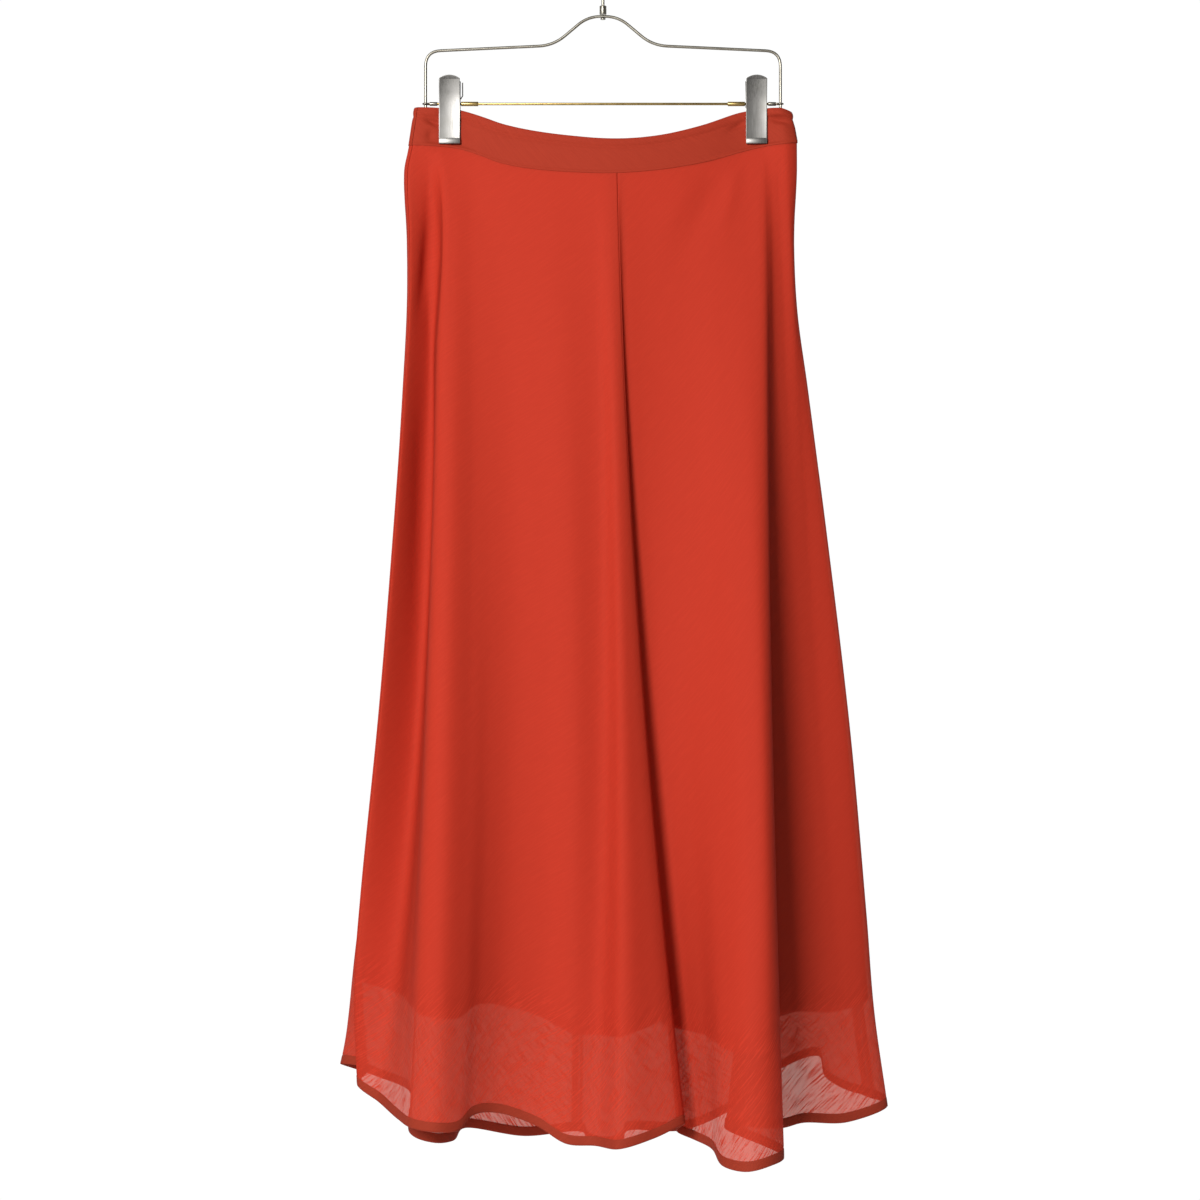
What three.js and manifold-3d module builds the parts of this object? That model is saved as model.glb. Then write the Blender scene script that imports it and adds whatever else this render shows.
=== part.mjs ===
// A maxi skirt of sheer crepe over a lining, held by its waistband in the two clips of a wire hanger.
// Millimetres. +Z is up, the skirt's front faces -Y, and +X is to the right as seen from the front.
// The origin is the top of the inside of the hanger's hook, where a rail carries it.
import * as THREE from "three";
import { mergeVertices } from "three/addons/utils/BufferGeometryUtils.js";
import Module from "manifold-3d";

const wasm = await Module();
wasm.setup();

// Cloth: what each wall measures through, and the gap kept between sewn pieces.
const CREPE_WALL = 1.2;
const LINING_WALL = 1.0;
const BAND_WALL = 2.0;
const SEAM_GAP = 0.3;
const HEM_TURNING = 9;
const HEM_LIFT = 0.4;
const HEM_STEP = 0.6;

// The lining hangs inside the crepe, further in at its own hem than at the waist.
const LINING_CLEAR_AT_WAIST = 0.35;
const LINING_CLEAR_AT_HEM = 4;

// Turns rows of plain values into rows whose values are named by the columns.
function table(columns, rows) {
  const names = columns.split(" ");
  return rows.map((row) => Object.fromEntries(names.map((name, i) => [name, row[i]])));
}

// The waistband lies almost flat: half the gap between its front and its back where the clips grip
// and at its lower seam, and the heights of its top edge and of the seam, at places across it.
const WAIST = table("across grip gap top seam", [
  [-180.4, 0.0, 0.0, -156.6, -192.0],
  [-179.6, 2.2, 2.6, -156.6, -192.0],
  [-177.0, 4.2, 4.8, -156.6, -192.0],
  [-165.0, 4.6, 6.0, -156.8, -192.4],
  [-152.0, 1.7, 4.2, -157.2, -193.0],
  [-142.5, 1.5, 3.2, -157.8, -193.8],
  [-133.0, 1.7, 4.0, -160.0, -195.5],
  [-120.0, 4.4, 5.6, -164.0, -199.5],
  [-91.0, 9.0, 10.0, -174.2, -210.4],
  [-49.0, 13.5, 14.5, -182.4, -217.0],
  [6.0, 16.0, 17.0, -187.4, -219.6],
  [48.0, 14.0, 15.0, -184.8, -216.6],
  [90.0, 9.5, 10.5, -175.6, -209.6],
  [120.0, 4.4, 5.6, -164.2, -200.6],
  [133.0, 1.7, 4.0, -161.0, -197.3],
  [142.5, 1.5, 3.2, -159.0, -194.8],
  [152.0, 1.7, 4.2, -157.8, -192.8],
  [166.0, 5.2, 6.6, -157.2, -191.2],
  [176.0, 4.4, 5.0, -158.5, -190.0],
  [180.4, 0.0, 0.0, -160.4, -189.2],
]);
const BAND_TOP_TAPER = 0.97;
const GRIP_END = 0.9;

// The skirt's two side outlines, at shares of the way from the waist seam to the hem.
const SIDES = table("share left right", [
  [0.0, -180.4, 180.4],
  [0.03, -185.0, 180.6],
  [0.1, -182.5, 178.2],
  [0.17, -182.5, 181.4],
  [0.25, -186.0, 191.6],
  [0.4, -194.5, 210.0],
  [0.6, -208.0, 232.5],
  [0.8, -225.0, 249.4],
  [0.9, -231.0, 257.0],
  [1.0, -228.5, 270.2],
]);

// The cloth's folds, clockwise round the skirt as seen from above, from the left side seam.
// side is -1 on the front, 1 on the back. waist is where the fold line starts across the waist seam,
// mid_x and mid_y where it is at MID_SHARE of the way down, x, y and z where it ends at the hem.
// edge is 0 where the fold hangs free. Otherwise the fold keeps to the skirt's side outline, and the
// higher edge is, the lower down it leaves it.
const MID_SHARE = 0.36;
const FOLDS = table("name side waist mid_x mid_y x y z edge", [
  ["left seam", -1, -177, -188, -14, -228.5, -5, -1064, 1],
  ["left hollow", -1, -162, -162, 8, -207.5, -22, -1077, 0],
  ["left crest start", -1, -156.5, -157, -22, -187.5, -58, -1086, 0],
  ["left crest", -1, -150, -152.5, -58, -171, -90, -1089, 0],
  ["left crest turn", -1, -138, -139, -62, -150, -97, -1091, 0],
  ["left crest side", -1, -124, -117, -53, -131, -84, -1092, 0],
  ["left valley start", -1, -112, -101.5, -48, -117, -64, -1081.5, 0],
  ["left valley", -1, -98, -83, -45, -96, -46, -1083, 0],
  ["panel start", -1, -78, -58, -46, -61.5, -36, -1096.5, 0],
  ["panel crest", -1, -50, -30, -48, -34, -42, -1112, 0],
  ["soft valley", -1, -10, 0, -43, -8, -46, -1113, 0],
  ["centre crest", -1, -1, 12, -50, 15, -72, -1111, 0],
  ["centre flank", -1, 7, 19, -48, 48, -60, -1103, 0],
  ["centre seam", -1, 13, 25.7, -42, 75, -42, -1093.5, 0],
  ["centre return", -1, 16, 27, -31, 69, -16, -1106, 0],
  ["centre valley", -1, 22, 38, -27, 82.5, -8, -1114, 0],
  ["right crest start", -1, 38, 60, -26, 99, -42, -1116.5, 0],
  ["right crest turn", -1, 62, 88, -30, 108, -88, -1123.5, 0],
  ["right crest", -1, 96, 117, -38, 129, -111, -1123.5, 0],
  ["right crest end", -1, 130, 141, -40, 149, -106, -1119.5, 0],
  ["right crest edge", -1, 149, 151.5, -33, 163, -80, -1116, 0],
  ["right return", -1, 152, 153, -17, 112, -31, -1099, 0],
  ["right floor", -1, 156, 161, -5, 166, -8, -1104, 0],
  ["right valley", -1, 161, 173, 5, 186, 2, -1101, 0],
  ["right front", -1, 171, 188, 13, 229, 26, -1105, 0],
  ["right corner", 1, 180.4, 206, 22, 270.2, 52, -1094.5, 1],
  ["right seam", 1, 176, 199, 34, 256, 76, -1090, 1],
  ["right back", 1, 168, 188, 44, 232, 94, -1085, 1],
  ["back step start", 1, 160, 176, 52, 216, 106, -1076, 0],
  ["back step", 1, 153, 170, 64, 211, 134, -1060, 0],
  ["back right", 1, 135, 148, 68, 176, 136, -1072, 0],
  ["back right middle", 1, 105, 114, 58, 130, 112, -1105, 0],
  ["back middle", 1, 70, 72, 50, 78, 92, -1124.5, 0],
  ["centre flute start", 1, 26, 26, 42, 26, 86, -1123.5, 0],
  ["centre flute right", 1, 16, 16, 28, 17, 36, -1125, 0],
  ["centre flute", 1, 6, 5, 20, 2, 12, -1125, 0],
  ["centre flute left", 1, -4, -7, 28, -13, 36, -1125, 0],
  ["back seam", 1, -13, -17, 42, -23, 84, -1124, 0],
  ["back left middle", 1, -48, -58, 46, -75, 88, -1129.5, 0],
  ["left flute start", 1, -98, -110, 36, -130.5, 66, -1117.5, 0],
  ["left flute right", 1, -107, -119, 16, -141, 14, -1120, 0],
  ["left flute", 1, -120, -134, 8, -156.5, -8, -1117.5, 0],
  ["left flute left", 1, -134, -150, 18, -179.5, 16, -1114, 0],
  ["left flute end", 1, -152, -165, 40, -187.5, 100, -1087.5, 0],
  ["back left", 1, -167, -182, 40, -218, 108, -1076, 1],
  ["left corner", 1, -180.4, -192, 16, -249, 48, -1053.5, 12],
  ["left tuck", -1, -179.6, -190, 1, -220, 16, -1054, 3],
]);

const foldIndex = (name) => FOLDS.findIndex((fold) => fold.name === name);
const LEFT_SEAM = foldIndex("left seam");
const FRONT_SEAM = foldIndex("centre seam");
const RIGHT_SEAM = foldIndex("right seam");
const BACK_SEAM = foldIndex("back seam");
const ROUND = FOLDS.length;

// A smooth value between a table's rows, by cubic steps whose slopes come from the rows beside them.
function smoothValue(rows, keyName, valueName, key) {
  const last = rows.length - 1;
  const clamped = THREE.MathUtils.clamp(key, rows[0][keyName], rows[last][keyName]);
  let i = 0;
  while (i < last - 1 && rows[i + 1][keyName] < clamped) i += 1;
  const slopeAt = (j) => {
    const before = rows[Math.max(j - 1, 0)];
    const after = rows[Math.min(j + 1, last)];
    return (after[valueName] - before[valueName]) / (after[keyName] - before[keyName]);
  };
  const width = rows[i + 1][keyName] - rows[i][keyName];
  const t = (clamped - rows[i][keyName]) / width;
  const start = rows[i][valueName];
  const end = rows[i + 1][valueName];
  const h = t * t * (3 - 2 * t);
  const startPull = t * (1 - t) * (1 - t) * width * slopeAt(i);
  const endPull = t * t * (t - 1) * width * slopeAt(i + 1);
  return start + (end - start) * h + startPull + endPull;
}

const waistValue = (name, across) => smoothValue(WAIST, "across", name, across);
const sideValue = (name, share) => smoothValue(SIDES, "share", name, share);
const lerp = THREE.MathUtils.lerp;

// The skirt's outlines at its waist and at its hem.
const LEFT_WAIST = SIDES[0].left;
const WAIST_WIDTH = SIDES[0].right - SIDES[0].left;
const LEFT_HEM = SIDES.at(-1).left;
const HEM_WIDTH = SIDES.at(-1).right - LEFT_HEM;

// A smooth run from one value through another at MID_SHARE to a last one.
function throughMiddle(first, middle, last, share) {
  const firstWeight = (1 - share) * (1 - share / MID_SHARE);
  const middleWeight = (share * (1 - share)) / (MID_SHARE * (1 - MID_SHARE));
  const lastWeight = (share * (share - MID_SHARE)) / (1 - MID_SHARE);
  return first * firstWeight + middle * middleWeight + last * lastWeight;
}

// How far across a fold is that keeps to the side outlines.
function outlineX(fold, share) {
  const waistPlace = (fold.waist - LEFT_WAIST) / WAIST_WIDTH;
  const hemPlace = (fold.x - LEFT_HEM) / HEM_WIDTH;
  const place = lerp(waistPlace, hemPlace, share ** fold.edge);
  return lerp(sideValue("left", share), sideValue("right", share), place);
}

// Where a fold line is at a share of its way from the waist seam down to the hem.
function skirtNode(fold, share) {
  const waistY = fold.side * waistValue("gap", fold.waist);
  const waistZ = waistValue("seam", fold.waist);
  const freeX = throughMiddle(fold.waist, fold.mid_x, fold.x, share);
  return new THREE.Vector3(
    fold.edge > 0 ? outlineX(fold, share) : freeX,
    throughMiddle(waistY, fold.mid_y, fold.y, share),
    lerp(waistZ, fold.z, share),
  );
}

// Where a fold line is in the waistband, at a share of its way from the top edge down to the seam.
function bandNode(fold, share) {
  const opening = THREE.MathUtils.smoothstep(share, GRIP_END, 1);
  const halfGap = lerp(waistValue("grip", fold.waist), waistValue("gap", fold.waist), opening);
  const top = waistValue("top", fold.waist);
  const seam = waistValue("seam", fold.waist);
  const narrowing = lerp(BAND_TOP_TAPER, 1, share);
  return new THREE.Vector3(fold.waist * narrowing, fold.side * halfGap, lerp(top, seam, share));
}

// A cloth surface: a closed smooth curve round the folds at every share of the way down.
function clothSurface(nodeAt) {
  const curves = new Map();
  const curveAt = (share) => {
    if (!curves.has(share)) {
      const nodes = FOLDS.map((fold) => nodeAt(fold, share));
      curves.set(share, new THREE.CatmullRomCurve3(nodes, true, "centripetal"));
    }
    return curves.get(share);
  };
  const STEP = 1e-3;
  const point = (turn, share) => curveAt(share).getPoint((((turn % ROUND) + ROUND) % ROUND) / ROUND);
  const along = (turn, share) =>
    point(turn + STEP, share).sub(point(turn - STEP, share)).normalize();
  const normal = (turn, share) => {
    const down = point(turn, Math.min(share + STEP, 1)).sub(point(turn, Math.max(share - STEP, 0)));
    return along(turn, share).cross(down).normalize().negate();
  };
  return { point, along, normal };
}

const skirtSurface = clothSurface(skirtNode);
const bandSurface = clothSurface(bandNode);

// Turns round the skirt for the columns of one piece, closer together where the cloth bends more.
function columnTurns(start, end, stepAtHem) {
  const turns = [start];
  for (let i = start; i < end; i += 1) {
    const from = skirtSurface.point(i, 1);
    const to = skirtSurface.point(i + 1, 1);
    const count = Math.max(2, Math.round(from.distanceTo(to) / stepAtHem));
    for (let k = 1; k <= count; k += 1) turns.push(i + k / count);
  }
  return turns;
}

// One sewn piece: a closed wall between an outer and an inner sheet of points.
// offsetAt gives how far each sheet lies outside the surface, edgeGap how far a side edge is drawn in.
function clothWall({ surface, turns, shares, offsetAt, edgeGap, endGap = 0 }) {
  const columns = turns.length;
  const rows = shares.length;
  const positions = [];
  const sheetPoint = (sheet, column, row) => {
    const turn = turns[column];
    const share = shares[row];
    const point = surface.point(turn, share);
    const along = surface.along(turn, share);
    if (column === 0) point.addScaledVector(along, edgeGap(turn, share));
    if (column === columns - 1) point.addScaledVector(along, -edgeGap(turn, share));
    if (row === 0) point.z -= endGap;
    if (row === rows - 1) point.z += endGap;
    return point.addScaledVector(surface.normal(turn, share), offsetAt(sheet, share));
  };
  for (const sheet of ["outer", "inner"]) {
    for (let row = 0; row < rows; row += 1) {
      for (let column = 0; column < columns; column += 1) {
        positions.push(...sheetPoint(sheet, column, row).toArray());
      }
    }
  }
  const outer = (column, row) => row * columns + column;
  const inner = (column, row) => rows * columns + row * columns + column;
  const faces = [];
  const quad = (a, b, c, d) => faces.push(a, b, c, a, c, d);
  for (let row = 0; row < rows - 1; row += 1) {
    for (let column = 0; column < columns - 1; column += 1) {
      quad(outer(column, row), outer(column, row + 1), outer(column + 1, row + 1), outer(column + 1, row));
      quad(inner(column, row), inner(column + 1, row), inner(column + 1, row + 1), inner(column, row + 1));
    }
  }
  const foot = rows - 1;
  const side = columns - 1;
  for (let column = 0; column < side; column += 1) {
    quad(outer(column, 0), outer(column + 1, 0), inner(column + 1, 0), inner(column, 0));
    quad(outer(column + 1, foot), outer(column, foot), inner(column, foot), inner(column + 1, foot));
  }
  for (let row = 0; row < foot; row += 1) {
    quad(outer(0, row + 1), outer(0, row), inner(0, row), inner(0, row + 1));
    quad(outer(side, row), outer(side, row + 1), inner(side, row + 1), inner(side, row));
  }
  const geometry = new THREE.BufferGeometry();
  geometry.setAttribute("position", new THREE.Float32BufferAttribute(positions, 3));
  geometry.setIndex(faces);
  geometry.computeVertexNormals();
  return geometry;
}

// A closed strip of rectangular section along a list of frames, each a point with its two directions.
function stripGeometry(frames, halfWidth, halfDepth) {
  const corners = [[-1, -1], [1, -1], [1, 1], [-1, 1]];
  const positions = [];
  for (const { point, along, normal } of frames) {
    for (const [w, d] of corners) {
      const corner = point.clone().addScaledVector(along, w * halfWidth);
      positions.push(...corner.addScaledVector(normal, d * halfDepth).toArray());
    }
  }
  const faces = [0, 2, 1, 0, 3, 2];
  const last = (frames.length - 1) * 4;
  faces.push(last, last + 1, last + 2, last, last + 2, last + 3);
  for (let i = 0; i < last; i += 4) {
    for (let k = 0; k < 4; k += 1) {
      const a = i + k;
      const b = i + ((k + 1) % 4);
      faces.push(a, b, b + 4, a, b + 4, a + 4);
    }
  }
  const geometry = new THREE.BufferGeometry();
  geometry.setAttribute("position", new THREE.Float32BufferAttribute(positions, 3));
  geometry.setIndex(faces);
  geometry.computeVertexNormals();
  return geometry;
}

// Joins solids that are one real piece into one closed mesh.
function joined(geometries) {
  const solids = geometries.map((source) => {
    const bare = source.clone();
    bare.deleteAttribute("normal");
    bare.deleteAttribute("uv");
    const merged = mergeVertices(bare, 1e-4);
    return new wasm.Manifold(new wasm.Mesh({
      numProp: 3,
      vertProperties: merged.attributes.position.array,
      triVerts: new Uint32Array(merged.index.array),
    }));
  });
  const mesh = solids.reduce((sum, solid) => sum.add(solid)).getMesh();
  const geometry = new THREE.BufferGeometry();
  geometry.setAttribute("position", new THREE.BufferAttribute(mesh.vertProperties, 3));
  geometry.setIndex(new THREE.BufferAttribute(mesh.triVerts, 1));
  geometry.computeVertexNormals();
  return geometry;
}

// A curve through fixed sections, so that a bent wire has its steps only where it bends.
class SectionPath extends THREE.Curve {
  constructor(points) {
    super();
    this.points = points;
  }
  getUtoTmapping(u) {
    return u;
  }
  getPoint(t, target = new THREE.Vector3()) {
    const scaled = THREE.MathUtils.clamp(t, 0, 1) * (this.points.length - 1);
    const i = Math.min(Math.floor(scaled), this.points.length - 2);
    return target.lerpVectors(this.points[i], this.points[i + 1], scaled - i);
  }
  getTangent(t, target = new THREE.Vector3()) {
    const steps = this.points.length - 1;
    const i = Math.round(THREE.MathUtils.clamp(t, 0, 1) * steps);
    const before = this.points[Math.max(i - 1, 0)];
    const after = this.points[Math.min(i + 1, steps)];
    return target.subVectors(after, before).normalize();
  }
}

// Points of a bent line in the plane of the hanger: straight runs with rounded corners.
function roundedRun(corners, cornerSteps) {
  const points = [];
  corners.forEach(({ x, z, radius = 0 }, i) => {
    const corner = new THREE.Vector3(x, 0, z);
    if (radius === 0) {
      points.push(corner);
      return;
    }
    const before = new THREE.Vector3(corners[i - 1].x, 0, corners[i - 1].z);
    const after = new THREE.Vector3(corners[i + 1].x, 0, corners[i + 1].z);
    const start = corner.clone().add(before.sub(corner).setLength(radius));
    const end = corner.clone().add(after.sub(corner).setLength(radius));
    points.push(...new THREE.QuadraticBezierCurve3(start, corner, end).getPoints(cornerSteps));
  });
  return points;
}

// The corners of a regular many-sided section.
function regularOutline(radius, sides) {
  return Array.from({ length: sides }, (_, k) => {
    const angle = (2 * Math.PI * k) / sides;
    return [radius * Math.cos(angle), radius * Math.sin(angle)];
  });
}

function wireGeometry(points, radius, sides) {
  const corners = regularOutline(radius, sides).map(([a, b]) => new THREE.Vector2(a, b));
  return new THREE.ExtrudeGeometry(new THREE.Shape(corners), {
    steps: points.length - 1,
    extrudePath: new SectionPath(points),
  });
}

// A profile drawn in the YZ plane, given width along X and centred on x = 0.
function alongX(outline, width, holes = []) {
  const shape = new THREE.Shape(outline.map(([y, z]) => new THREE.Vector2(y, z)));
  for (const { y, z, radius } of holes) {
    shape.holes.push(new THREE.Path().absarc(y, z, radius, 0, 2 * Math.PI, true));
  }
  const geometry = new THREE.ExtrudeGeometry(shape, {
    depth: width,
    bevelEnabled: false,
    curveSegments: 10,
  });
  const [x, y, z] = [new THREE.Vector3(1, 0, 0), new THREE.Vector3(0, 1, 0), new THREE.Vector3(0, 0, 1)];
  geometry.applyMatrix4(new THREE.Matrix4().makeBasis(y, z, x));
  return geometry.translate(-width / 2, 0, 0);
}

// A ring about the X axis, centred on the origin.
function ringAboutX(innerRadius, outerRadius, width, segments) {
  const profile = [
    [innerRadius, -width / 2],
    [outerRadius, -width / 2],
    [outerRadius, width / 2],
    [innerRadius, width / 2],
    [innerRadius, -width / 2],
  ].map(([r, h]) => new THREE.Vector2(r, h));
  return new THREE.LatheGeometry(profile, segments).rotateZ(-Math.PI / 2);
}

const crepe = new THREE.MeshStandardMaterial({ color: 0xcc422f, roughness: 0.8 });
const liningCloth = new THREE.MeshStandardMaterial({ color: 0xb23424, roughness: 0.6 });
const zipTape = new THREE.MeshStandardMaterial({ color: 0xa93222, roughness: 0.7 });
const zipMetal = new THREE.MeshStandardMaterial({ color: 0xb7382a, roughness: 0.4, metalness: 0.3 });
const steel = new THREE.MeshStandardMaterial({ color: 0xb9b6ae, roughness: 0.3, metalness: 1 });
const brassTone = new THREE.MeshStandardMaterial({ color: 0xb08d4f, roughness: 0.35, metalness: 1 });
const rubber = new THREE.MeshStandardMaterial({ color: 0xe8e6e0, roughness: 0.8 });

const garment = new THREE.Group();
function addPiece(name, geometry, material, place = [0, 0, 0], parent = garment) {
  const mesh = new THREE.Mesh(geometry, material);
  mesh.name = name;
  mesh.position.set(...place);
  parent.add(mesh);
  return mesh;
}

// The skirt's four gores, sewn on the centre front, centre back and side seams.
const COLUMN_STEP = 22;
const ZIP_END = 0.21;
const ZIP_WIDTH = 1.0;
const ZIP_END_TAPER = 0.004;
const GORE_LENGTH = 900;
const GORE_SHARES = [0.34, 0.48, 0.62, 0.76];
const hemTop = 1 - HEM_TURNING / GORE_LENGTH;
const zipShares = [0, 0.03, 0.09, 0.15, ZIP_END];
const LINING_END = 0.887;
const LINING_BACK_END = 0.865;
const goreShares = [
  ...zipShares,
  ZIP_END + ZIP_END_TAPER,
  ...GORE_SHARES,
  LINING_END,
  (LINING_END + hemTop) / 2,
  hemTop - HEM_STEP / GORE_LENGTH,
  hemTop,
  1,
];

const plainSeam = () => SEAM_GAP / 2;
const zipSeam = (turn, share) => (share <= ZIP_END ? ZIP_WIDTH / 2 + SEAM_GAP : SEAM_GAP / 2);
const besideZip = (turn, share) => (turn === BACK_SEAM ? zipSeam(turn, share) : plainSeam());

function goreOffset(sheet, share) {
  const lift = share >= hemTop ? HEM_LIFT : 0;
  return (sheet === "outer" ? 1 : -1) * (CREPE_WALL / 2 + lift);
}

const GORES = table("name start end", [
  ["front_gore_left", LEFT_SEAM, FRONT_SEAM],
  ["front_gore_right", FRONT_SEAM, RIGHT_SEAM],
  ["back_gore_right", RIGHT_SEAM, BACK_SEAM],
  ["back_gore_left", BACK_SEAM, ROUND],
]);
for (const { name, start, end } of GORES) {
  addPiece(name, clothWall({
    surface: skirtSurface,
    turns: columnTurns(start, end, COLUMN_STEP),
    shares: goreShares,
    offsetAt: goreOffset,
    edgeGap: besideZip,
    endGap: SEAM_GAP / 2,
  }), crepe);
}

// The lining hangs inside the gores, ends above their hem and is sewn in at the waist seam.
function liningOffset(sheet, share) {
  const clear = lerp(LINING_CLEAR_AT_WAIST, LINING_CLEAR_AT_HEM, share);
  const outerFace = -(CREPE_WALL / 2 + clear);
  return sheet === "outer" ? outerFace : outerFace - LINING_WALL;
}
const LININGS = table("name start end hemShare", [
  ["lining_front", LEFT_SEAM, RIGHT_SEAM, LINING_END],
  ["lining_back_right", RIGHT_SEAM, BACK_SEAM, LINING_BACK_END],
  ["lining_back_left", BACK_SEAM, ROUND, LINING_BACK_END],
]);
for (const { name, start, end, hemShare } of LININGS) {
  addPiece(name, clothWall({
    surface: skirtSurface,
    turns: columnTurns(start, end, COLUMN_STEP),
    shares: [...goreShares.filter((share) => share < hemShare), hemShare],
    offsetAt: liningOffset,
    edgeGap: plainSeam,
    endGap: SEAM_GAP / 2,
  }), liningCloth);
}

// The waistband: one front, and two back halves that the zip parts.
const BAND_SHARES = [0, 0.3, 0.6, GRIP_END, 0.95, 1];
const bandOffset = (sheet) => (sheet === "outer" ? 1 : -1) * (BAND_WALL / 2);
const bandEdge = (turn) => (turn === BACK_SEAM ? ZIP_WIDTH / 2 + SEAM_GAP : SEAM_GAP / 2);
const BANDS = table("name start end", [
  ["waistband_front", LEFT_SEAM, RIGHT_SEAM],
  ["waistband_back_right", RIGHT_SEAM, BACK_SEAM],
  ["waistband_back_left", BACK_SEAM, ROUND],
]);
for (const { name, start, end } of BANDS) {
  addPiece(name, clothWall({
    surface: bandSurface,
    turns: columnTurns(start, end, COLUMN_STEP),
    shares: BAND_SHARES,
    offsetAt: bandOffset,
    edgeGap: bandEdge,
    endGap: SEAM_GAP / 2,
  }), crepe);
}

// The concealed zip: a narrow strip in the slit of the centre back, with its slider and pull on top.
const frameAt = (surface, share) => ({
  point: surface.point(BACK_SEAM, share),
  along: surface.along(BACK_SEAM, share),
  normal: surface.normal(BACK_SEAM, share),
});
// The band's last frame is at the waist seam, so the skirt's start one further down.
const zipFrames = [
  ...BAND_SHARES.map((share) => frameAt(bandSurface, share)),
  ...zipShares.slice(1).map((share) => frameAt(skirtSurface, share)),
];
zipFrames.at(-1).point.z += SEAM_GAP;
addPiece("zip_strip", stripGeometry(zipFrames, ZIP_WIDTH / 2, CREPE_WALL / 2), zipTape);

const SLIDER = { width: 5, height: 8, depth: 1.5, stand: 0.4, lugGap: 2.6, lugWall: 0.9, lugHeight: 2.6 };
const PIN_RADIUS = 0.6;
const PIN_CLEAR = 0.3;
const EYE_WALL = 0.7;
const EYE_RADIUS = PIN_RADIUS + PIN_CLEAR + EYE_WALL;
const EYE_WIDTH = 2.0;
const EYE_SIDES = 16;
const PIN_STAND = EYE_RADIUS + PIN_CLEAR;
const SLIDER_SHARE = 0.14;
const sliderSeat = bandSurface.point(BACK_SEAM, SLIDER_SHARE);
const pinY = sliderSeat.y + BAND_WALL / 2 + SLIDER.stand + SLIDER.depth + PIN_STAND;
const pinPlace = [sliderSeat.x, pinY, sliderSeat.z];

function sliderGeometry() {
  const { width, height, depth, lugGap, lugWall, lugHeight } = SLIDER;
  const plate = new THREE.BoxGeometry(width, depth, height);
  plate.translate(0, -PIN_STAND - depth / 2, 0);
  const lugTip = PIN_RADIUS + PIN_CLEAR;
  const lugDepth = PIN_STAND + lugTip + depth / 2;
  const lugs = [-1, 1].map((side) => {
    const lug = new THREE.BoxGeometry(lugWall, lugDepth, lugHeight);
    return lug.translate((side * (lugGap + lugWall)) / 2, lugTip - lugDepth / 2, 0);
  });
  const pin = new THREE.CylinderGeometry(PIN_RADIUS, PIN_RADIUS, lugGap + lugWall, 12);
  pin.rotateZ(Math.PI / 2);
  return joined([plate, ...lugs, pin]);
}
addPiece("zip_slider", sliderGeometry(), zipMetal, pinPlace);

// The pull's tab widens from a narrow neck: swell and shoulder set how its sides curve.
const PULL = {
  neckZ: -3.6,
  neckHalf: EYE_WIDTH / 2,
  swellX: 1.8,
  swellZ: -8.5,
  shoulderZ: -11.9,
  half: 3,
  roundZ: -14,
  thickness: 1.0,
};
function pullGeometry() {
  const eyeOutline = regularOutline(EYE_RADIUS, EYE_SIDES);
  const eye = alongX(eyeOutline, EYE_WIDTH, [{ y: 0, z: 0, radius: PIN_RADIUS + PIN_CLEAR }]);
  const { neckZ, neckHalf, swellX, swellZ, shoulderZ, half, roundZ } = PULL;
  const start = -(PIN_RADIUS + PIN_CLEAR + EYE_WALL / 2);
  const tabShape = new THREE.Shape();
  tabShape.moveTo(-neckHalf, start);
  tabShape.lineTo(-neckHalf, neckZ);
  tabShape.bezierCurveTo(-swellX, swellZ, -half, shoulderZ, -half, roundZ);
  tabShape.absarc(0, roundZ, half, Math.PI, 2 * Math.PI, false);
  tabShape.bezierCurveTo(half, shoulderZ, swellX, swellZ, neckHalf, neckZ);
  tabShape.lineTo(neckHalf, start);
  const tab = new THREE.ExtrudeGeometry(tabShape, {
    depth: PULL.thickness,
    bevelEnabled: false,
    curveSegments: 6,
  });
  tab.translate(0, 0, -PULL.thickness / 2).rotateX(Math.PI / 2);
  return joined([eye, tab]);
}
addPiece("zip_pull", pullGeometry(), zipMetal, pinPlace);

// The hanger: a bent wire frame with a cross bar, carried by a hook that turns in a collar.
const WIRE_RADIUS = 1.4;
const FRAME = {
  halfWidth: 165,
  foot: -156.6,
  shoulderZ: -104,
  neckX: 46,
  neckZ: -98.5,
  topX: 14,
  top: -71.5,
};
const FRAME_BEND = 14;
const FRAME_TOP_BEND = 12;
const BAR_RADIUS = 1.2;
const BAR_Z = -152.9;
const TOUCH = 0.3;
const WIRE_SIDES = 8;

const frameSide = (side) => [
  { x: side * FRAME.halfWidth, z: FRAME.foot },
  { x: side * FRAME.halfWidth, z: FRAME.shoulderZ, radius: FRAME_BEND },
  { x: side * FRAME.neckX, z: FRAME.neckZ, radius: FRAME_BEND },
  { x: side * FRAME.topX, z: FRAME.top, radius: FRAME_TOP_BEND },
];
const frameRun = roundedRun([...frameSide(-1), ...frameSide(1).reverse()], 4);
addPiece("hanger_frame", wireGeometry(frameRun, WIRE_RADIUS, WIRE_SIDES), steel);

const barLength = 2 * (FRAME.halfWidth - WIRE_RADIUS - TOUCH);
const bar = new THREE.CylinderGeometry(BAR_RADIUS, BAR_RADIUS, barLength, 10).rotateZ(Math.PI / 2);
addPiece("hanger_bar", bar, brassTone, [0, 0, BAR_Z]);

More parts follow.
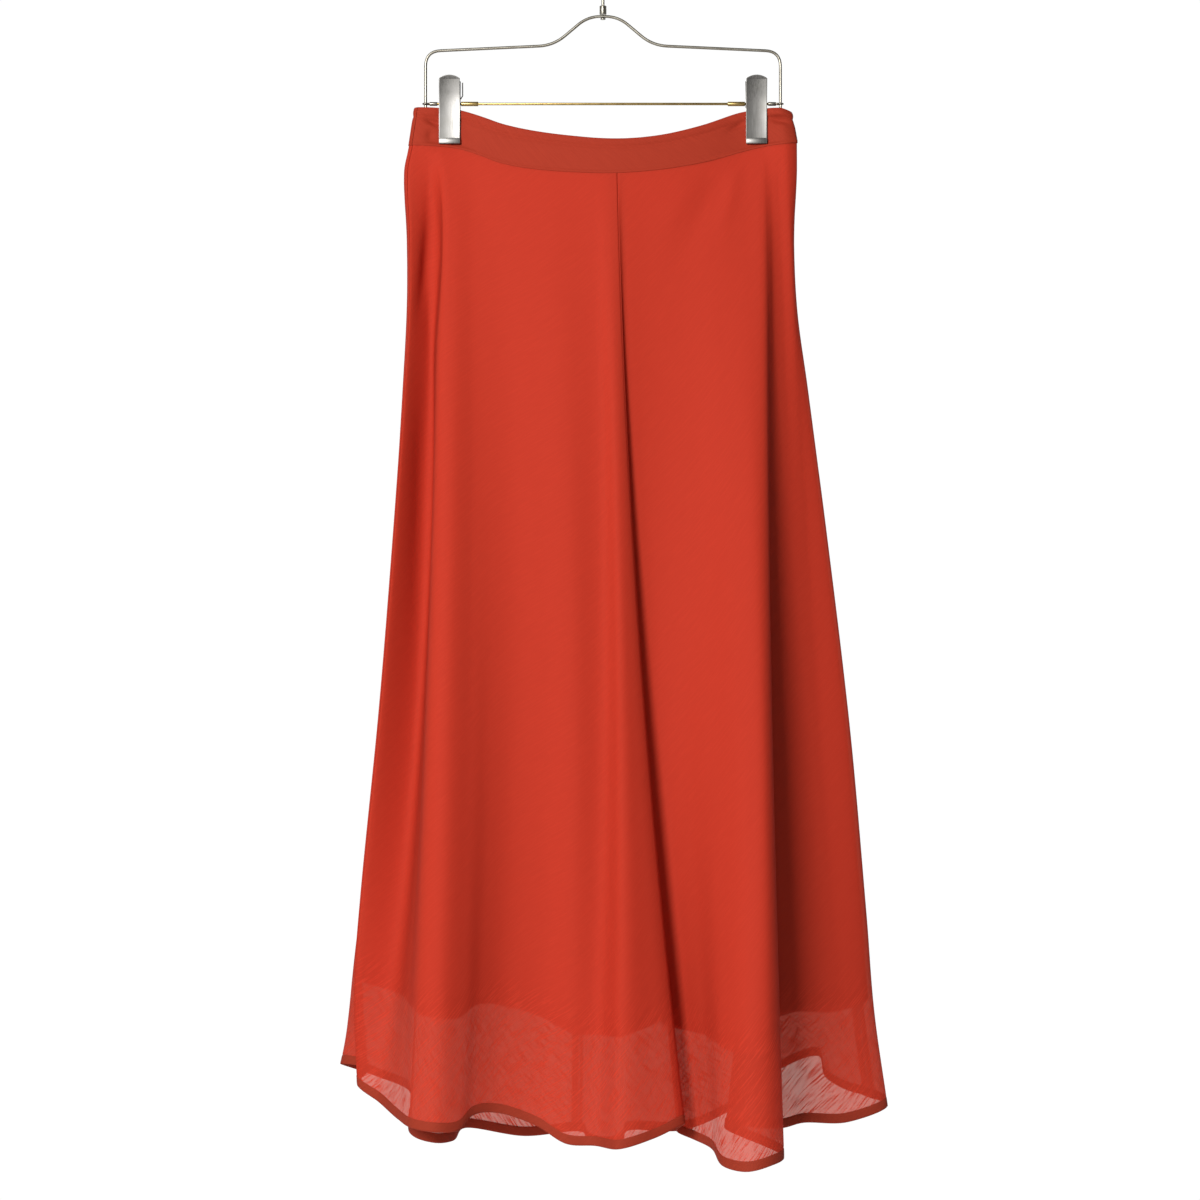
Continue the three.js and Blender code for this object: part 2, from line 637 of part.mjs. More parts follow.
const HOOK = { innerRadius: 20, wireRadius: 1.5, stemTop: -52, stemFoot: -61.5 };
const HOOK_TIP_DEGREES = 205;
const HOOK_BEND_DEGREES = -35;
const HOOK_BEND_PULL = 10;
const HOOK_STEPS = 16;
function hookRun() {
  const radius = HOOK.innerRadius + HOOK.wireRadius;
  const centreZ = -HOOK.innerRadius;
  const onRing = (degrees) => {
    const angle = THREE.MathUtils.degToRad(degrees);
    return new THREE.Vector3(radius * Math.cos(angle), 0, centreZ + radius * Math.sin(angle));
  };
  const points = [];
  for (let k = 0; k < HOOK_STEPS; k += 1) {
    points.push(onRing(lerp(HOOK_TIP_DEGREES, HOOK_BEND_DEGREES, k / HOOK_STEPS)));
  }
  const bend = onRing(HOOK_BEND_DEGREES);
  const bendAngle = THREE.MathUtils.degToRad(HOOK_BEND_DEGREES);
  const leaving = new THREE.Vector3(Math.sin(bendAngle), 0, -Math.cos(bendAngle));
  const curve = new THREE.CubicBezierCurve3(
    bend,
    bend.clone().addScaledVector(leaving, HOOK_BEND_PULL),
    new THREE.Vector3(0, 0, HOOK.stemTop + HOOK_BEND_PULL),
    new THREE.Vector3(0, 0, HOOK.stemTop),
  );
  return [...points, ...curve.getPoints(6), new THREE.Vector3(0, 0, HOOK.stemFoot)];
}
addPiece("hanger_hook", wireGeometry(hookRun(), HOOK.wireRadius, WIRE_SIDES), steel);

const COLLAR = { radius: 3.25, top: HOOK.stemFoot - TOUCH, foot: FRAME.top + WIRE_RADIUS + TOUCH };
const collar = new THREE.CylinderGeometry(COLLAR.radius, COLLAR.radius, COLLAR.top - COLLAR.foot, 16);
addPiece("hanger_collar", collar.rotateX(Math.PI / 2), steel, [0, 0, (COLLAR.top + COLLAR.foot) / 2]);
const RIVET = { radius: 2.4, height: 1.4 };
const rivet = new THREE.CylinderGeometry(RIVET.radius, RIVET.radius, RIVET.height, 12).rotateX(Math.PI / 2);
addPiece("hanger_rivet", rivet, steel, [0, 0, FRAME.top - WIRE_RADIUS - TOUCH - RIVET.height / 2]);

// Each clip: two bent plates on the bar with a coil spring between, and a soft pad in each jaw.
const CLIP = { width: 19.5, top: -126.9, jawZ: -186, foot: -190.6, plate: 1.0, lip: 0.9 };
const CLIP_INNER = { top: 8.6, bar: 4.4, jaw: 4.8 };
const PAD = { width: 15, top: -176, foot: -189, inner: 3.1, outer: 4.5 };
const SPRING = { outer: CLIP_INNER.bar - TOUCH, inner: BAR_RADIUS + TOUCH, width: 12 };
const SLEEVE = { inner: BAR_RADIUS + TOUCH, outer: 2.1, length: 16 };

const plateOutline = [
  [CLIP_INNER.top, CLIP.top],
  [CLIP_INNER.bar, BAR_Z],
  [CLIP_INNER.jaw, CLIP.jawZ],
  [CLIP_INNER.jaw, CLIP.foot],
  [CLIP_INNER.jaw + CLIP.plate + CLIP.lip, CLIP.foot],
  [CLIP_INNER.jaw + CLIP.plate + CLIP.lip, CLIP.jawZ - CLIP.lip],
  [CLIP_INNER.jaw + CLIP.plate, CLIP.jawZ],
  [CLIP_INNER.bar + CLIP.plate, BAR_Z],
  [CLIP_INNER.top + CLIP.plate, CLIP.top],
];
const padOutline = [
  [PAD.inner, PAD.foot],
  [PAD.outer, PAD.foot],
  [PAD.outer, PAD.top],
  [PAD.inner, PAD.top],
];
const mirrored = (outline) => outline.map(([y, z]) => [-y, z]).reverse();
const springGeometry = () => ringAboutX(SPRING.inner, SPRING.outer, SPRING.width, 14);
const sleeveGeometry = () => ringAboutX(SLEEVE.inner, SLEEVE.outer, SLEEVE.length, 12);
const CLIPS = table("name x sleeveX", [
  ["clip_left", -142.5, -124],
  ["clip_right", 142.5, 124],
]);
for (const { name, x, sleeveX } of CLIPS) {
  addPiece(`${name}_back_plate`, alongX(plateOutline, CLIP.width), steel, [x, 0, 0]);
  addPiece(`${name}_front_plate`, alongX(mirrored(plateOutline), CLIP.width), steel, [x, 0, 0]);
  addPiece(`${name}_back_pad`, alongX(padOutline, PAD.width), rubber, [x, 0, 0]);
  addPiece(`${name}_front_pad`, alongX(mirrored(padOutline), PAD.width), rubber, [x, 0, 0]);
  addPiece(`${name}_spring`, springGeometry(), steel, [x, 0, BAR_Z]);
  addPiece(`${name}_sleeve`, sleeveGeometry(), brassTone, [sleeveX, 0, BAR_Z]);
}

export default garment;
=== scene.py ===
# A maxi skirt of slightly sheer crepe over a lining, hung by its waistband in the clips of a wire hanger.
# The tables are in millimetres and the meshes in metres. +Z is up, the skirt's front faces -Y,
# and +X is to the right as seen from the front.
import math

import bmesh
import bpy
import numpy as np
from mathutils import Matrix, Vector


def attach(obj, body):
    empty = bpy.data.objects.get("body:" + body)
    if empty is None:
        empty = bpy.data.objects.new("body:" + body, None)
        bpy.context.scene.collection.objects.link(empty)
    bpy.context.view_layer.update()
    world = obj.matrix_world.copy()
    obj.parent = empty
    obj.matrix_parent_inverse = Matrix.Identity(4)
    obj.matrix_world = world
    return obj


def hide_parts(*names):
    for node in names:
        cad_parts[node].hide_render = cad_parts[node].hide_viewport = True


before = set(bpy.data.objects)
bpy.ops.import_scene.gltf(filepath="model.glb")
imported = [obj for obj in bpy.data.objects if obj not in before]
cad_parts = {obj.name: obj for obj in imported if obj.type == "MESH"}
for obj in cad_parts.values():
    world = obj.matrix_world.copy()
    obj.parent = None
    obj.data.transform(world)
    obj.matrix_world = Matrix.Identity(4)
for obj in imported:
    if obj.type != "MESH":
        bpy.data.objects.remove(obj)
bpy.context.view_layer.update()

MM = 0.001


# Turns rows of plain values into one array for each named column.
def table(columns, rows):
    return {name: np.array([row[i] for row in rows]) for i, name in enumerate(columns.split())}


# The waistband lies almost flat: half the gap between its front and its back where the clips grip
# and at its lower seam, and the heights of its top edge and of the seam, at places across it.
WAIST = table("across grip gap top seam", [
    (-180.4, 0.0, 0.0, -156.6, -192.0),
    (-179.6, 2.2, 2.6, -156.6, -192.0),
    (-177.0, 4.2, 4.8, -156.6, -192.0),
    (-165.0, 4.6, 6.0, -156.8, -192.4),
    (-152.0, 1.7, 4.2, -157.2, -193.0),
    (-142.5, 1.5, 3.2, -157.8, -193.8),
    (-133.0, 1.7, 4.0, -160.0, -195.5),
    (-120.0, 4.4, 5.6, -164.0, -199.5),
    (-91.0, 9.0, 10.0, -174.2, -210.4),
    (-49.0, 13.5, 14.5, -182.4, -217.0),
    (6.0, 16.0, 17.0, -187.4, -219.6),
    (48.0, 14.0, 15.0, -184.8, -216.6),
    (90.0, 9.5, 10.5, -175.6, -209.6),
    (120.0, 4.4, 5.6, -164.2, -200.6),
    (133.0, 1.7, 4.0, -161.0, -197.3),
    (142.5, 1.5, 3.2, -159.0, -194.8),
    (152.0, 1.7, 4.2, -157.8, -192.8),
    (166.0, 5.2, 6.6, -157.2, -191.2),
    (176.0, 4.4, 5.0, -158.5, -190.0),
    (180.4, 0.0, 0.0, -160.4, -189.2),
])
BAND_TOP_TAPER = 0.97
GRIP_END = 0.9

# The skirt's two side outlines, at shares of the way from the waist seam to the hem.
SIDES = table("share left right", [
    (0.0, -180.4, 180.4),
    (0.03, -185.0, 180.6),
    (0.1, -182.5, 178.2),
    (0.17, -182.5, 181.4),
    (0.25, -186.0, 191.6),
    (0.4, -194.5, 210.0),
    (0.6, -208.0, 232.5),
    (0.8, -225.0, 249.4),
    (0.9, -231.0, 257.0),
    (1.0, -228.5, 270.2),
])

# The cloth's folds, clockwise round the skirt as seen from above, from the left side seam.
# side is -1 on the front, 1 on the back. waist is where the fold line starts across the waist seam,
# mid_x and mid_y where it is at MID_SHARE of the way down, x, y and z where it ends at the hem.
# edge is 0 where the fold hangs free. Otherwise the fold keeps to the skirt's side outline, and the
# higher edge is, the lower down it leaves it.
MID_SHARE = 0.36
FOLDS = table("name side waist mid_x mid_y x y z edge", [
    ("left seam", -1, -177, -188, -14, -228.5, -5, -1064, 1),
    ("left hollow", -1, -162, -162, 8, -207.5, -22, -1077, 0),
    ("left crest start", -1, -156.5, -157, -22, -187.5, -58, -1086, 0),
    ("left crest", -1, -150, -152.5, -58, -171, -90, -1089, 0),
    ("left crest turn", -1, -138, -139, -62, -150, -97, -1091, 0),
    ("left crest side", -1, -124, -117, -53, -131, -84, -1092, 0),
    ("left valley start", -1, -112, -101.5, -48, -117, -64, -1081.5, 0),
    ("left valley", -1, -98, -83, -45, -96, -46, -1083, 0),
    ("panel start", -1, -78, -58, -46, -61.5, -36, -1096.5, 0),
    ("panel crest", -1, -50, -30, -48, -34, -42, -1112, 0),
    ("soft valley", -1, -10, 0, -43, -8, -46, -1113, 0),
    ("centre crest", -1, -1, 12, -50, 15, -72, -1111, 0),
    ("centre flank", -1, 7, 19, -48, 48, -60, -1103, 0),
    ("centre seam", -1, 13, 25.7, -42, 75, -42, -1093.5, 0),
    ("centre return", -1, 16, 27, -31, 69, -16, -1106, 0),
    ("centre valley", -1, 22, 38, -27, 82.5, -8, -1114, 0),
    ("right crest start", -1, 38, 60, -26, 99, -42, -1116.5, 0),
    ("right crest turn", -1, 62, 88, -30, 108, -88, -1123.5, 0),
    ("right crest", -1, 96, 117, -38, 129, -111, -1123.5, 0),
    ("right crest end", -1, 130, 141, -40, 149, -106, -1119.5, 0),
    ("right crest edge", -1, 149, 151.5, -33, 163, -80, -1116, 0),
    ("right return", -1, 152, 153, -17, 112, -31, -1099, 0),
    ("right floor", -1, 156, 161, -5, 166, -8, -1104, 0),
    ("right valley", -1, 161, 173, 5, 186, 2, -1101, 0),
    ("right front", -1, 171, 188, 13, 229, 26, -1105, 0),
    ("right corner", 1, 180.4, 206, 22, 270.2, 52, -1094.5, 1),
    ("right seam", 1, 176, 199, 34, 256, 76, -1090, 1),
    ("right back", 1, 168, 188, 44, 232, 94, -1085, 1),
    ("back step start", 1, 160, 176, 52, 216, 106, -1076, 0),
    ("back step", 1, 153, 170, 64, 211, 134, -1060, 0),
    ("back right", 1, 135, 148, 68, 176, 136, -1072, 0),
    ("back right middle", 1, 105, 114, 58, 130, 112, -1105, 0),
    ("back middle", 1, 70, 72, 50, 78, 92, -1124.5, 0),
    ("centre flute start", 1, 26, 26, 42, 26, 86, -1123.5, 0),
    ("centre flute right", 1, 16, 16, 28, 17, 36, -1125, 0),
    ("centre flute", 1, 6, 5, 20, 2, 12, -1125, 0),
    ("centre flute left", 1, -4, -7, 28, -13, 36, -1125, 0),
    ("back seam", 1, -13, -17, 42, -23, 84, -1124, 0),
    ("back left middle", 1, -48, -58, 46, -75, 88, -1129.5, 0),
    ("left flute start", 1, -98, -110, 36, -130.5, 66, -1117.5, 0),
    ("left flute right", 1, -107, -119, 16, -141, 14, -1120, 0),
    ("left flute", 1, -120, -134, 8, -156.5, -8, -1117.5, 0),
    ("left flute left", 1, -134, -150, 18, -179.5, 16, -1114, 0),
    ("left flute end", 1, -152, -165, 40, -187.5, 100, -1087.5, 0),
    ("back left", 1, -167, -182, 40, -218, 108, -1076, 1),
    ("left corner", 1, -180.4, -192, 16, -249, 48, -1053.5, 12),
    ("left tuck", -1, -179.6, -190, 1, -220, 16, -1054, 3),
])

# Soft creases pressed or pulled into the cloth, seen from the front: each runs from its start to
# its end with a bow to one side, is highest at swell along its length, and is width wide. A positive
# height stands out of the cloth. The same kinds of crease are on the back, in other places.
CREASES = table("side x z end_x end_z bow swell width height", [
    ("front", -156, -196, -158, -400, 0, 0.4, 8, -6.0),
    ("front", -162, -250, -174, -372, -3, 0.45, 5, -2.5),
    ("front", -165, -380, -178, -740, -2, 0.35, 9, -3.0),
    ("front", 118, -205, 64, -330, 6, 0.3, 13, -2.2),
    ("front", 128, -205, 108, -300, 3, 0.35, 7, 1.2),
    ("front", 96, -215, 40, -300, 5, 0.4, 16, 0.9),
    ("front", -128, -205, -96, -300, 4, 0.4, 15, -1.0),
    ("back", 150, -205, 128, -360, 4, 0.3, 12, -2.6),
    ("back", -150, -205, -120, -350, -4, 0.3, 12, -2.4),
    ("back", -110, -210, -70, -300, 3, 0.4, 14, 1.2),
    ("back", 112, -210, 66, -310, 3, 0.4, 14, 1.0),
    ("back", 40, -420, 48, -640, 2, 0.5, 14, 1.6),
    ("back", -60, -460, -70, -700, 2, 0.5, 16, -1.6),
    ("front band", 150, -166, 180, -172, 0, 0.45, 3.0, -3.8),
    ("front band", 150, -160, 178, -164, 0, 0.45, 3.0, 1.4),
    ("front band", 110, -181, 134, -170, 0, 0.65, 2.4, -2.6),
    ("front band", -169, -166, -148, -174, 0, 0.5, 2.8, -3.6),
    ("front band", -160, -174, -161, -192, 0, 0.5, 3.4, -2.2),
    ("front band", -146, -188, -110, -190, 0, 0.3, 4.0, -1.2),
    ("back band", -148, -165, -176, -170, 0, 0.4, 2.8, -2.0),
    ("back band", 150, -166, 174, -172, 0, 0.5, 2.6, -2.2),
    ("back band", 112, -178, 132, -170, 0, 0.6, 2.4, -1.3),
])

FOLD_NAMES = list(FOLDS["name"])
ROUND = len(FOLD_NAMES)
LEFT_SEAM = FOLD_NAMES.index("left seam")
FRONT_SEAM = FOLD_NAMES.index("centre seam")
RIGHT_SEAM = FOLD_NAMES.index("right seam")
BACK_SEAM = FOLD_NAMES.index("back seam")


# A smooth value between a table's rows, by cubic steps whose slopes come from the rows beside them.
def smooth_value(rows, key_name, value_name, key):
    keys = rows[key_name]
    values = rows[value_name]
    last = len(keys) - 1
    key = np.clip(key, keys[0], keys[-1])
    i = np.clip(np.searchsorted(keys, key) - 1, 0, last - 1)
    before = np.maximum(np.arange(last + 1) - 1, 0)
    after = np.minimum(np.arange(last + 1) + 1, last)
    slopes = (values[after] - values[before]) / (keys[after] - keys[before])
    width = keys[i + 1] - keys[i]
    t = (key - keys[i]) / width
    blend = t * t * (3 - 2 * t)
    start_pull = t * (1 - t) ** 2 * width * slopes[i]
    end_pull = t * t * (t - 1) * width * slopes[i + 1]
    return values[i] + (values[i + 1] - values[i]) * blend + start_pull + end_pull


def lerp(a, b, share):
    return a + (b - a) * share


def smooth_step(value, low, high):
    t = np.clip((value - low) / (high - low), 0, 1)
    return t * t * (3 - 2 * t)


# A smooth run from one value through another at MID_SHARE to a last one.
def through_middle(first, middle, last, share):
    first_weight = (1 - share) * (1 - share / MID_SHARE)
    middle_weight = share * (1 - share) / (MID_SHARE * (1 - MID_SHARE))
    last_weight = share * (share - MID_SHARE) / (1 - MID_SHARE)
    return first * first_weight + middle * middle_weight + last * last_weight


# Where every fold line is at each share of the way from the waist seam down to the hem.
def skirt_folds(shares):
    share = np.asarray(shares)[:, None]
    left_waist, right_waist = SIDES["left"][0], SIDES["right"][0]
    left_hem, right_hem = SIDES["left"][-1], SIDES["right"][-1]
    waist_place = (FOLDS["waist"] - left_waist) / (right_waist - left_waist)
    hem_place = (FOLDS["x"] - left_hem) / (right_hem - left_hem)
    place = lerp(waist_place, hem_place, share ** FOLDS["edge"])
    left = smooth_value(SIDES, "share", "left", share)
    right = smooth_value(SIDES, "share", "right", share)
    free_x = through_middle(FOLDS["waist"], FOLDS["mid_x"], FOLDS["x"], share)
    x = np.where(FOLDS["edge"] > 0, lerp(left, right, place), free_x)
    waist_y = FOLDS["side"] * smooth_value(WAIST, "across", "gap", FOLDS["waist"])
    waist_z = smooth_value(WAIST, "across", "seam", FOLDS["waist"])
    y = through_middle(waist_y, FOLDS["mid_y"], FOLDS["y"], share)
    z = lerp(waist_z, FOLDS["z"], share)
    return np.stack([x, y, z], axis=2)


# Where every fold line is in the waistband, at each share of the way down to its seam.
def band_folds(shares):
    share = np.asarray(shares)[:, None]
    across = FOLDS["waist"]
    grip = smooth_value(WAIST, "across", "grip", across)
    gap = smooth_value(WAIST, "across", "gap", across)
    half_gap = lerp(grip, gap, smooth_step(share, GRIP_END, 1))
    top = smooth_value(WAIST, "across", "top", across)
    seam = smooth_value(WAIST, "across", "seam", across)
    x = across * lerp(BAND_TOP_TAPER, 1, share)
    return np.stack([x, FOLDS["side"] * half_gap, lerp(top, seam, share)], axis=2)


# Points at the given turns round a closed smooth curve through the folds, for every row of folds.
def round_curve(folds, turns):
    whole = np.floor(turns).astype(int)
    part = (turns - whole)[None, :, None]
    p0, p1, p2, p3 = [folds[:, (whole + step) % ROUND] for step in (-1, 0, 1, 2)]
    spans = [np.sum((b - a) ** 2, axis=2, keepdims=True) ** 0.25 for a, b in ((p0, p1), (p1, p2), (p2, p3))]
    middle = np.where(spans[1] < 1e-4, 1.0, spans[1])
    before = np.where(spans[0] < 1e-4, middle, spans[0])
    after = np.where(spans[2] < 1e-4, middle, spans[2])
    start_pull = ((p1 - p0) / before - (p2 - p0) / (before + middle) + (p2 - p1) / middle) * middle
    end_pull = ((p2 - p1) / middle - (p3 - p1) / (middle + after) + (p3 - p2) / after) * middle
    square = -3 * p1 + 3 * p2 - 2 * start_pull - end_pull
    cube = 2 * p1 - 2 * p2 + start_pull + end_pull
    return p1 + start_pull * part + square * part**2 + cube * part**3


TURNS_PER_FOLD = 24
SHARE_STEP = 1e-3


# Points and outward directions of a surface at given distances along each row of cloth,
# measured from the row's start.
class ClothRows:
    def __init__(self, folds_at, start, end, shares):
        turns = np.linspace(start, end, (end - start) * TURNS_PER_FOLD + 1)
        shares = np.asarray(shares, float)
        self.points = round_curve(folds_at(shares), turns)
        above = round_curve(folds_at(np.maximum(shares - SHARE_STEP, 0)), turns)
        below = round_curve(folds_at(np.minimum(shares + SHARE_STEP, 1)), turns)
        after = round_curve(folds_at(shares), turns + 1e-3)
        before = round_curve(folds_at(shares), turns - 1e-3)
        normals = np.cross(below - above, after - before)
        self.normals = normals / np.linalg.norm(normals, axis=2, keepdims=True)
        steps = np.linalg.norm(np.diff(self.points, axis=1), axis=2)
        zero = np.zeros((len(shares), 1))
        self.arc = np.concatenate([zero, np.cumsum(steps, axis=1)], axis=1)

    def at(self, distances):
        points = np.empty(distances.shape + (3,))
        normals = np.empty(distances.shape + (3,))
        for row in range(len(distances)):
            for axis in range(3):
                points[row, :, axis] = np.interp(distances[row], self.arc[row], self.points[row, :, axis])
                normals[row, :, axis] = np.interp(distances[row], self.arc[row], self.normals[row, :, axis])
        return points, normals / np.linalg.norm(normals, axis=2, keepdims=True)

    def width(self):
        return self.arc[:, -1:]


# How far the creases of one side lift the cloth at each point, seen from the front.
def crease_lift(points, side):
    lift = np.zeros(points.shape[:2])
    x, z = points[:, :, 0], points[:, :, 2]
    for i in np.flatnonzero(CREASES["side"] == side):
        start = np.array([CREASES["x"][i], CREASES["z"][i]])
        run = np.array([CREASES["end_x"][i], CREASES["end_z"][i]]) - start
        length = np.linalg.norm(run)
        along = ((x - start[0]) * run[0] + (z - start[1]) * run[1]) / length**2
        across = ((x - start[0]) * run[1] - (z - start[1]) * run[0]) / length
        across = across - CREASES["bow"][i] * 4 * along * (1 - along)
        swell = CREASES["swell"][i]
        envelope = smooth_step(along, 0, swell) * (1 - smooth_step(along, swell, 1))
        lift += CREASES["height"][i] * envelope * np.exp(-((across / CREASES["width"][i]) ** 2))
    return lift


def mesh_piece(name, verts, faces, uvs=None):
    mesh = bpy.data.meshes.new(name)
    mesh.from_pydata([tuple(v) for v in verts], [], [tuple(f) for f in faces])
    if uvs is not None:
        layer = mesh.uv_layers.new(name="cloth")
        corner_verts = np.empty(len(mesh.loops), int)
        mesh.loops.foreach_get("vertex_index", corner_verts)
        layer.data.foreach_set("uv", np.asarray(uvs, np.float32)[corner_verts].ravel())
    mesh.polygons.foreach_set("use_smooth", [True] * len(mesh.polygons))
    mesh.update()
    piece = bpy.data.objects.new(name, mesh)
    bpy.context.scene.collection.objects.link(piece)
    return piece


def grid_faces(rows, columns):
    corner = np.arange(rows * columns).reshape(rows, columns)
    a, b = corner[:-1, :-1], corner[1:, :-1]
    c, d = corner[1:, 1:], corner[:-1, 1:]
    return np.stack([a, b, c, d], axis=2).reshape(-1, 4)


GORE_LENGTH = 900
HEM_TURNING = 9

# How one sewn sheet is cut: the pressed-open seam allowances at its sides and the turned-up hem are
# part of the same cloth. Each pair is a distance from the edge and how far the cloth lies outside
# its own surface there.
SEAM_EDGE = [(8.0, -1.1), (4.5, -1.1), (1.6, -1.0), (0.5, -0.9), (0.15, -0.5)]
SEAM_GROOVE = [(0.3, -0.22), (0.8, -0.06), (1.5, 0.0), (2.6, 0.0), (4.2, 0.0)]


def cloth_sheet(name, folds_at, start, end, row_places, column_step, side, inset, crease_share=1.0):
    shares = np.array([share for share, offset, down in row_places])
    offsets = np.array([offset for share, offset, down in row_places])[:, None]
    down = np.array([down for share, offset, down in row_places])[:, None]
    rows = ClothRows(folds_at, start, end, shares)
    width = rows.width()
    edge = np.array([d for d, offset in SEAM_EDGE + SEAM_GROOVE])
    edge_offset = np.array([offset for d, offset in SEAM_EDGE + SEAM_GROOVE])
    count = max(int(width.max() / column_step), 12)
    inner = np.linspace(0, 1, count + 1)[1:-1]
    reach = edge[-1]
    near = np.broadcast_to(edge, (len(shares), len(edge)))
    between = reach + inner * (width - 2 * reach)
    distances = np.concatenate([near, between, (width - edge)[:, ::-1]], axis=1)
    points, normals = rows.at(distances)
    flat = np.zeros(len(inner))
    column_offset = np.concatenate([edge_offset, flat, edge_offset[::-1]])
    lift = crease_lift(points, side) * crease_share
    points = points + normals * (lift + offsets + column_offset - inset)[:, :, None]
    unfolded = np.concatenate([-edge[:5], edge[5:]])
    near_u = np.broadcast_to(unfolded, (len(shares), len(unfolded)))
    across = np.concatenate([near_u, between, (width - unfolded)[:, ::-1]], axis=1) - width / 2
    uvs = np.stack([across, np.broadcast_to(-down, across.shape)], axis=2).reshape(-1, 2) * MM
    faces = grid_faces(*distances.shape)
    piece = mesh_piece(name, points.reshape(-1, 3) * MM, faces, uvs)
    # The turned hem's rows take the sheet's second material; on the crepe sheets that material is painted darker
    # as shade.
    turned = shares[1:] > shares.max() - HEM_TURNING / GORE_LENGTH
    columns = distances.shape[1] - 1
    piece.data.polygons.foreach_set("material_index", np.repeat(turned, columns).astype(np.int32))
    return piece


# The rows of a sheet from its top down to its hem, then up and under again as a narrow turned hem.
# Each row is a share of the way down the surface, its offset outwards and its distance down the cloth.
def rows_to_hem(last_share, length, step, hem):
    count = int(length * last_share / step)
    hem_share = last_share * hem / (length * last_share)
    body = np.linspace(0, last_share - hem_share, count)
    groove = [(-1.4, 0.0), (-0.7, -0.1), (0.0, -0.28), (0.7, -0.02), (1.6, 0.15)]
    rows = [(share, 0.0) for share in body[:-1]]
    rows += [(last_share - hem_share + d / length, offset) for d, offset in groove]
    rows += [(last_share - hem_share * (1 - k), 0.15) for k in (0.45, 0.75)]
    rows += [(last_share - 0.4 / length, 0.05), (last_share, -0.45), (last_share - 0.4 / length, -0.95)]
    rows += [(last_share - hem_share * k, -1.05) for k in (0.25, 0.6, 0.93)]
    rows += [(last_share - hem_share, -0.85)]
    rows += [(last_share - hem_share * k, -0.5) for k in (0.93, 0.6, 0.3)]
    down = 0.0
    places = []
    before = rows[0][0]
    for share, offset in rows:
        down += abs(share - before) * length
        before = share
        places.append((share, offset, down))
    return places


LINING_END = 0.887
LINING_BACK_END = 0.865
LINING_INSET_AT_HEM = 4.6
GORE_STEP = 3.6
LINING_STEP = 5.0

gore_rows = rows_to_hem(1.0, GORE_LENGTH, GORE_STEP, HEM_TURNING)


# The lining hangs inside the crepe, further in at its own hem than at the waist.
def lining_inset(rows):
    return np.array([lerp(1.0, LINING_INSET_AT_HEM, share) + 0.5 for share, offset, down in rows])[:, None]


PIECES = {}
GORES = [
    ("front_gore_left_cloth", "front_gore_left", LEFT_SEAM, FRONT_SEAM, "front"),
    ("front_gore_right_cloth", "front_gore_right", FRONT_SEAM, RIGHT_SEAM, "front"),
    ("back_gore_right_cloth", "back_gore_right", RIGHT_SEAM, BACK_SEAM, "back"),
    ("back_gore_left_cloth", "back_gore_left", BACK_SEAM, ROUND, "back"),
]
for name, node, start, end, side in GORES:
    PIECES[name] = cloth_sheet(name, skirt_folds, start, end, gore_rows, GORE_STEP, side, 0.0)
    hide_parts(node)

LININGS = [
    ("lining_front_cloth", "lining_front", LEFT_SEAM, RIGHT_SEAM, "front", LINING_END),
    ("lining_back_right_cloth", "lining_back_right", RIGHT_SEAM, BACK_SEAM, "back", LINING_BACK_END),
    ("lining_back_left_cloth", "lining_back_left", BACK_SEAM, ROUND, "back", LINING_BACK_END),
]
for name, node, start, end, side, last in LININGS:
    rows = rows_to_hem(last, GORE_LENGTH, LINING_STEP, 14)
    PIECES[name] = cloth_sheet(
        name, skirt_folds, start, end, rows, LINING_STEP, side, lining_inset(rows), 0.9
    )
    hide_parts(node)

# The waistband is faced: its section goes up its outside, over a soft top edge and down its inside.
# Each pair is a share of the way down and how far the cloth lies outside the band's middle.
BAND_SECTION = [
    (1.0, 0.55), (0.985, 0.9), (0.95, 1.05), (0.85, 1.05), (0.72, 1.05), (0.58, 1.05), (0.46, 1.05),
    (0.38, 1.0), (0.32, 0.9), (0.28, 0.55), (0.25, 0.3), (0.22, 0.6), (0.18, 1.05), (0.12, 1.3),
    (0.06, 1.15), (0.025, 0.85), (0.005, 0.45), (0.0, 0.0), (0.005, -0.5), (0.03, -0.85), (0.08, -1.0),
    (0.3, -1.0), (0.6, -1.0), (0.9, -1.0), (0.985, -0.9), (1.0, -0.5),
]
BAND_STEP = 2.0
BAND_ROW_STEP = 1.2
BAND_HEIGHT = 35.0


def band_shell(name, start, end, side):
    key_shares, key_offsets = np.array(BAND_SECTION).T
    steps = np.hypot(np.diff(key_shares) * BAND_HEIGHT, np.diff(key_offsets))
    keys = np.concatenate([[0], np.cumsum(steps)])
    places = np.union1d(keys, np.arange(0, keys[-1], BAND_ROW_STEP))
    shares = np.interp(places, keys, key_shares)
    offsets = np.interp(places, keys, key_offsets)[:, None]
    rows = ClothRows(band_folds, start, end, shares)
    width = rows.width()
    count = int(width.max() / BAND_STEP)
    across = np.linspace(0, 1, count + 1) * (width - 0.3) + 0.15
    points, normals = rows.at(across)
    lift = crease_lift(points, f"{side} band")
    points = points + normals * (offsets + lift)[:, :, None]
    uvs = np.stack([across - width / 2, np.broadcast_to(-places[:, None], across.shape)], axis=2)
    faces = grid_faces(len(points), count + 1)
    return mesh_piece(name, points.reshape(-1, 3) * MM, faces[:, ::-1], uvs.reshape(-1, 2) * MM)


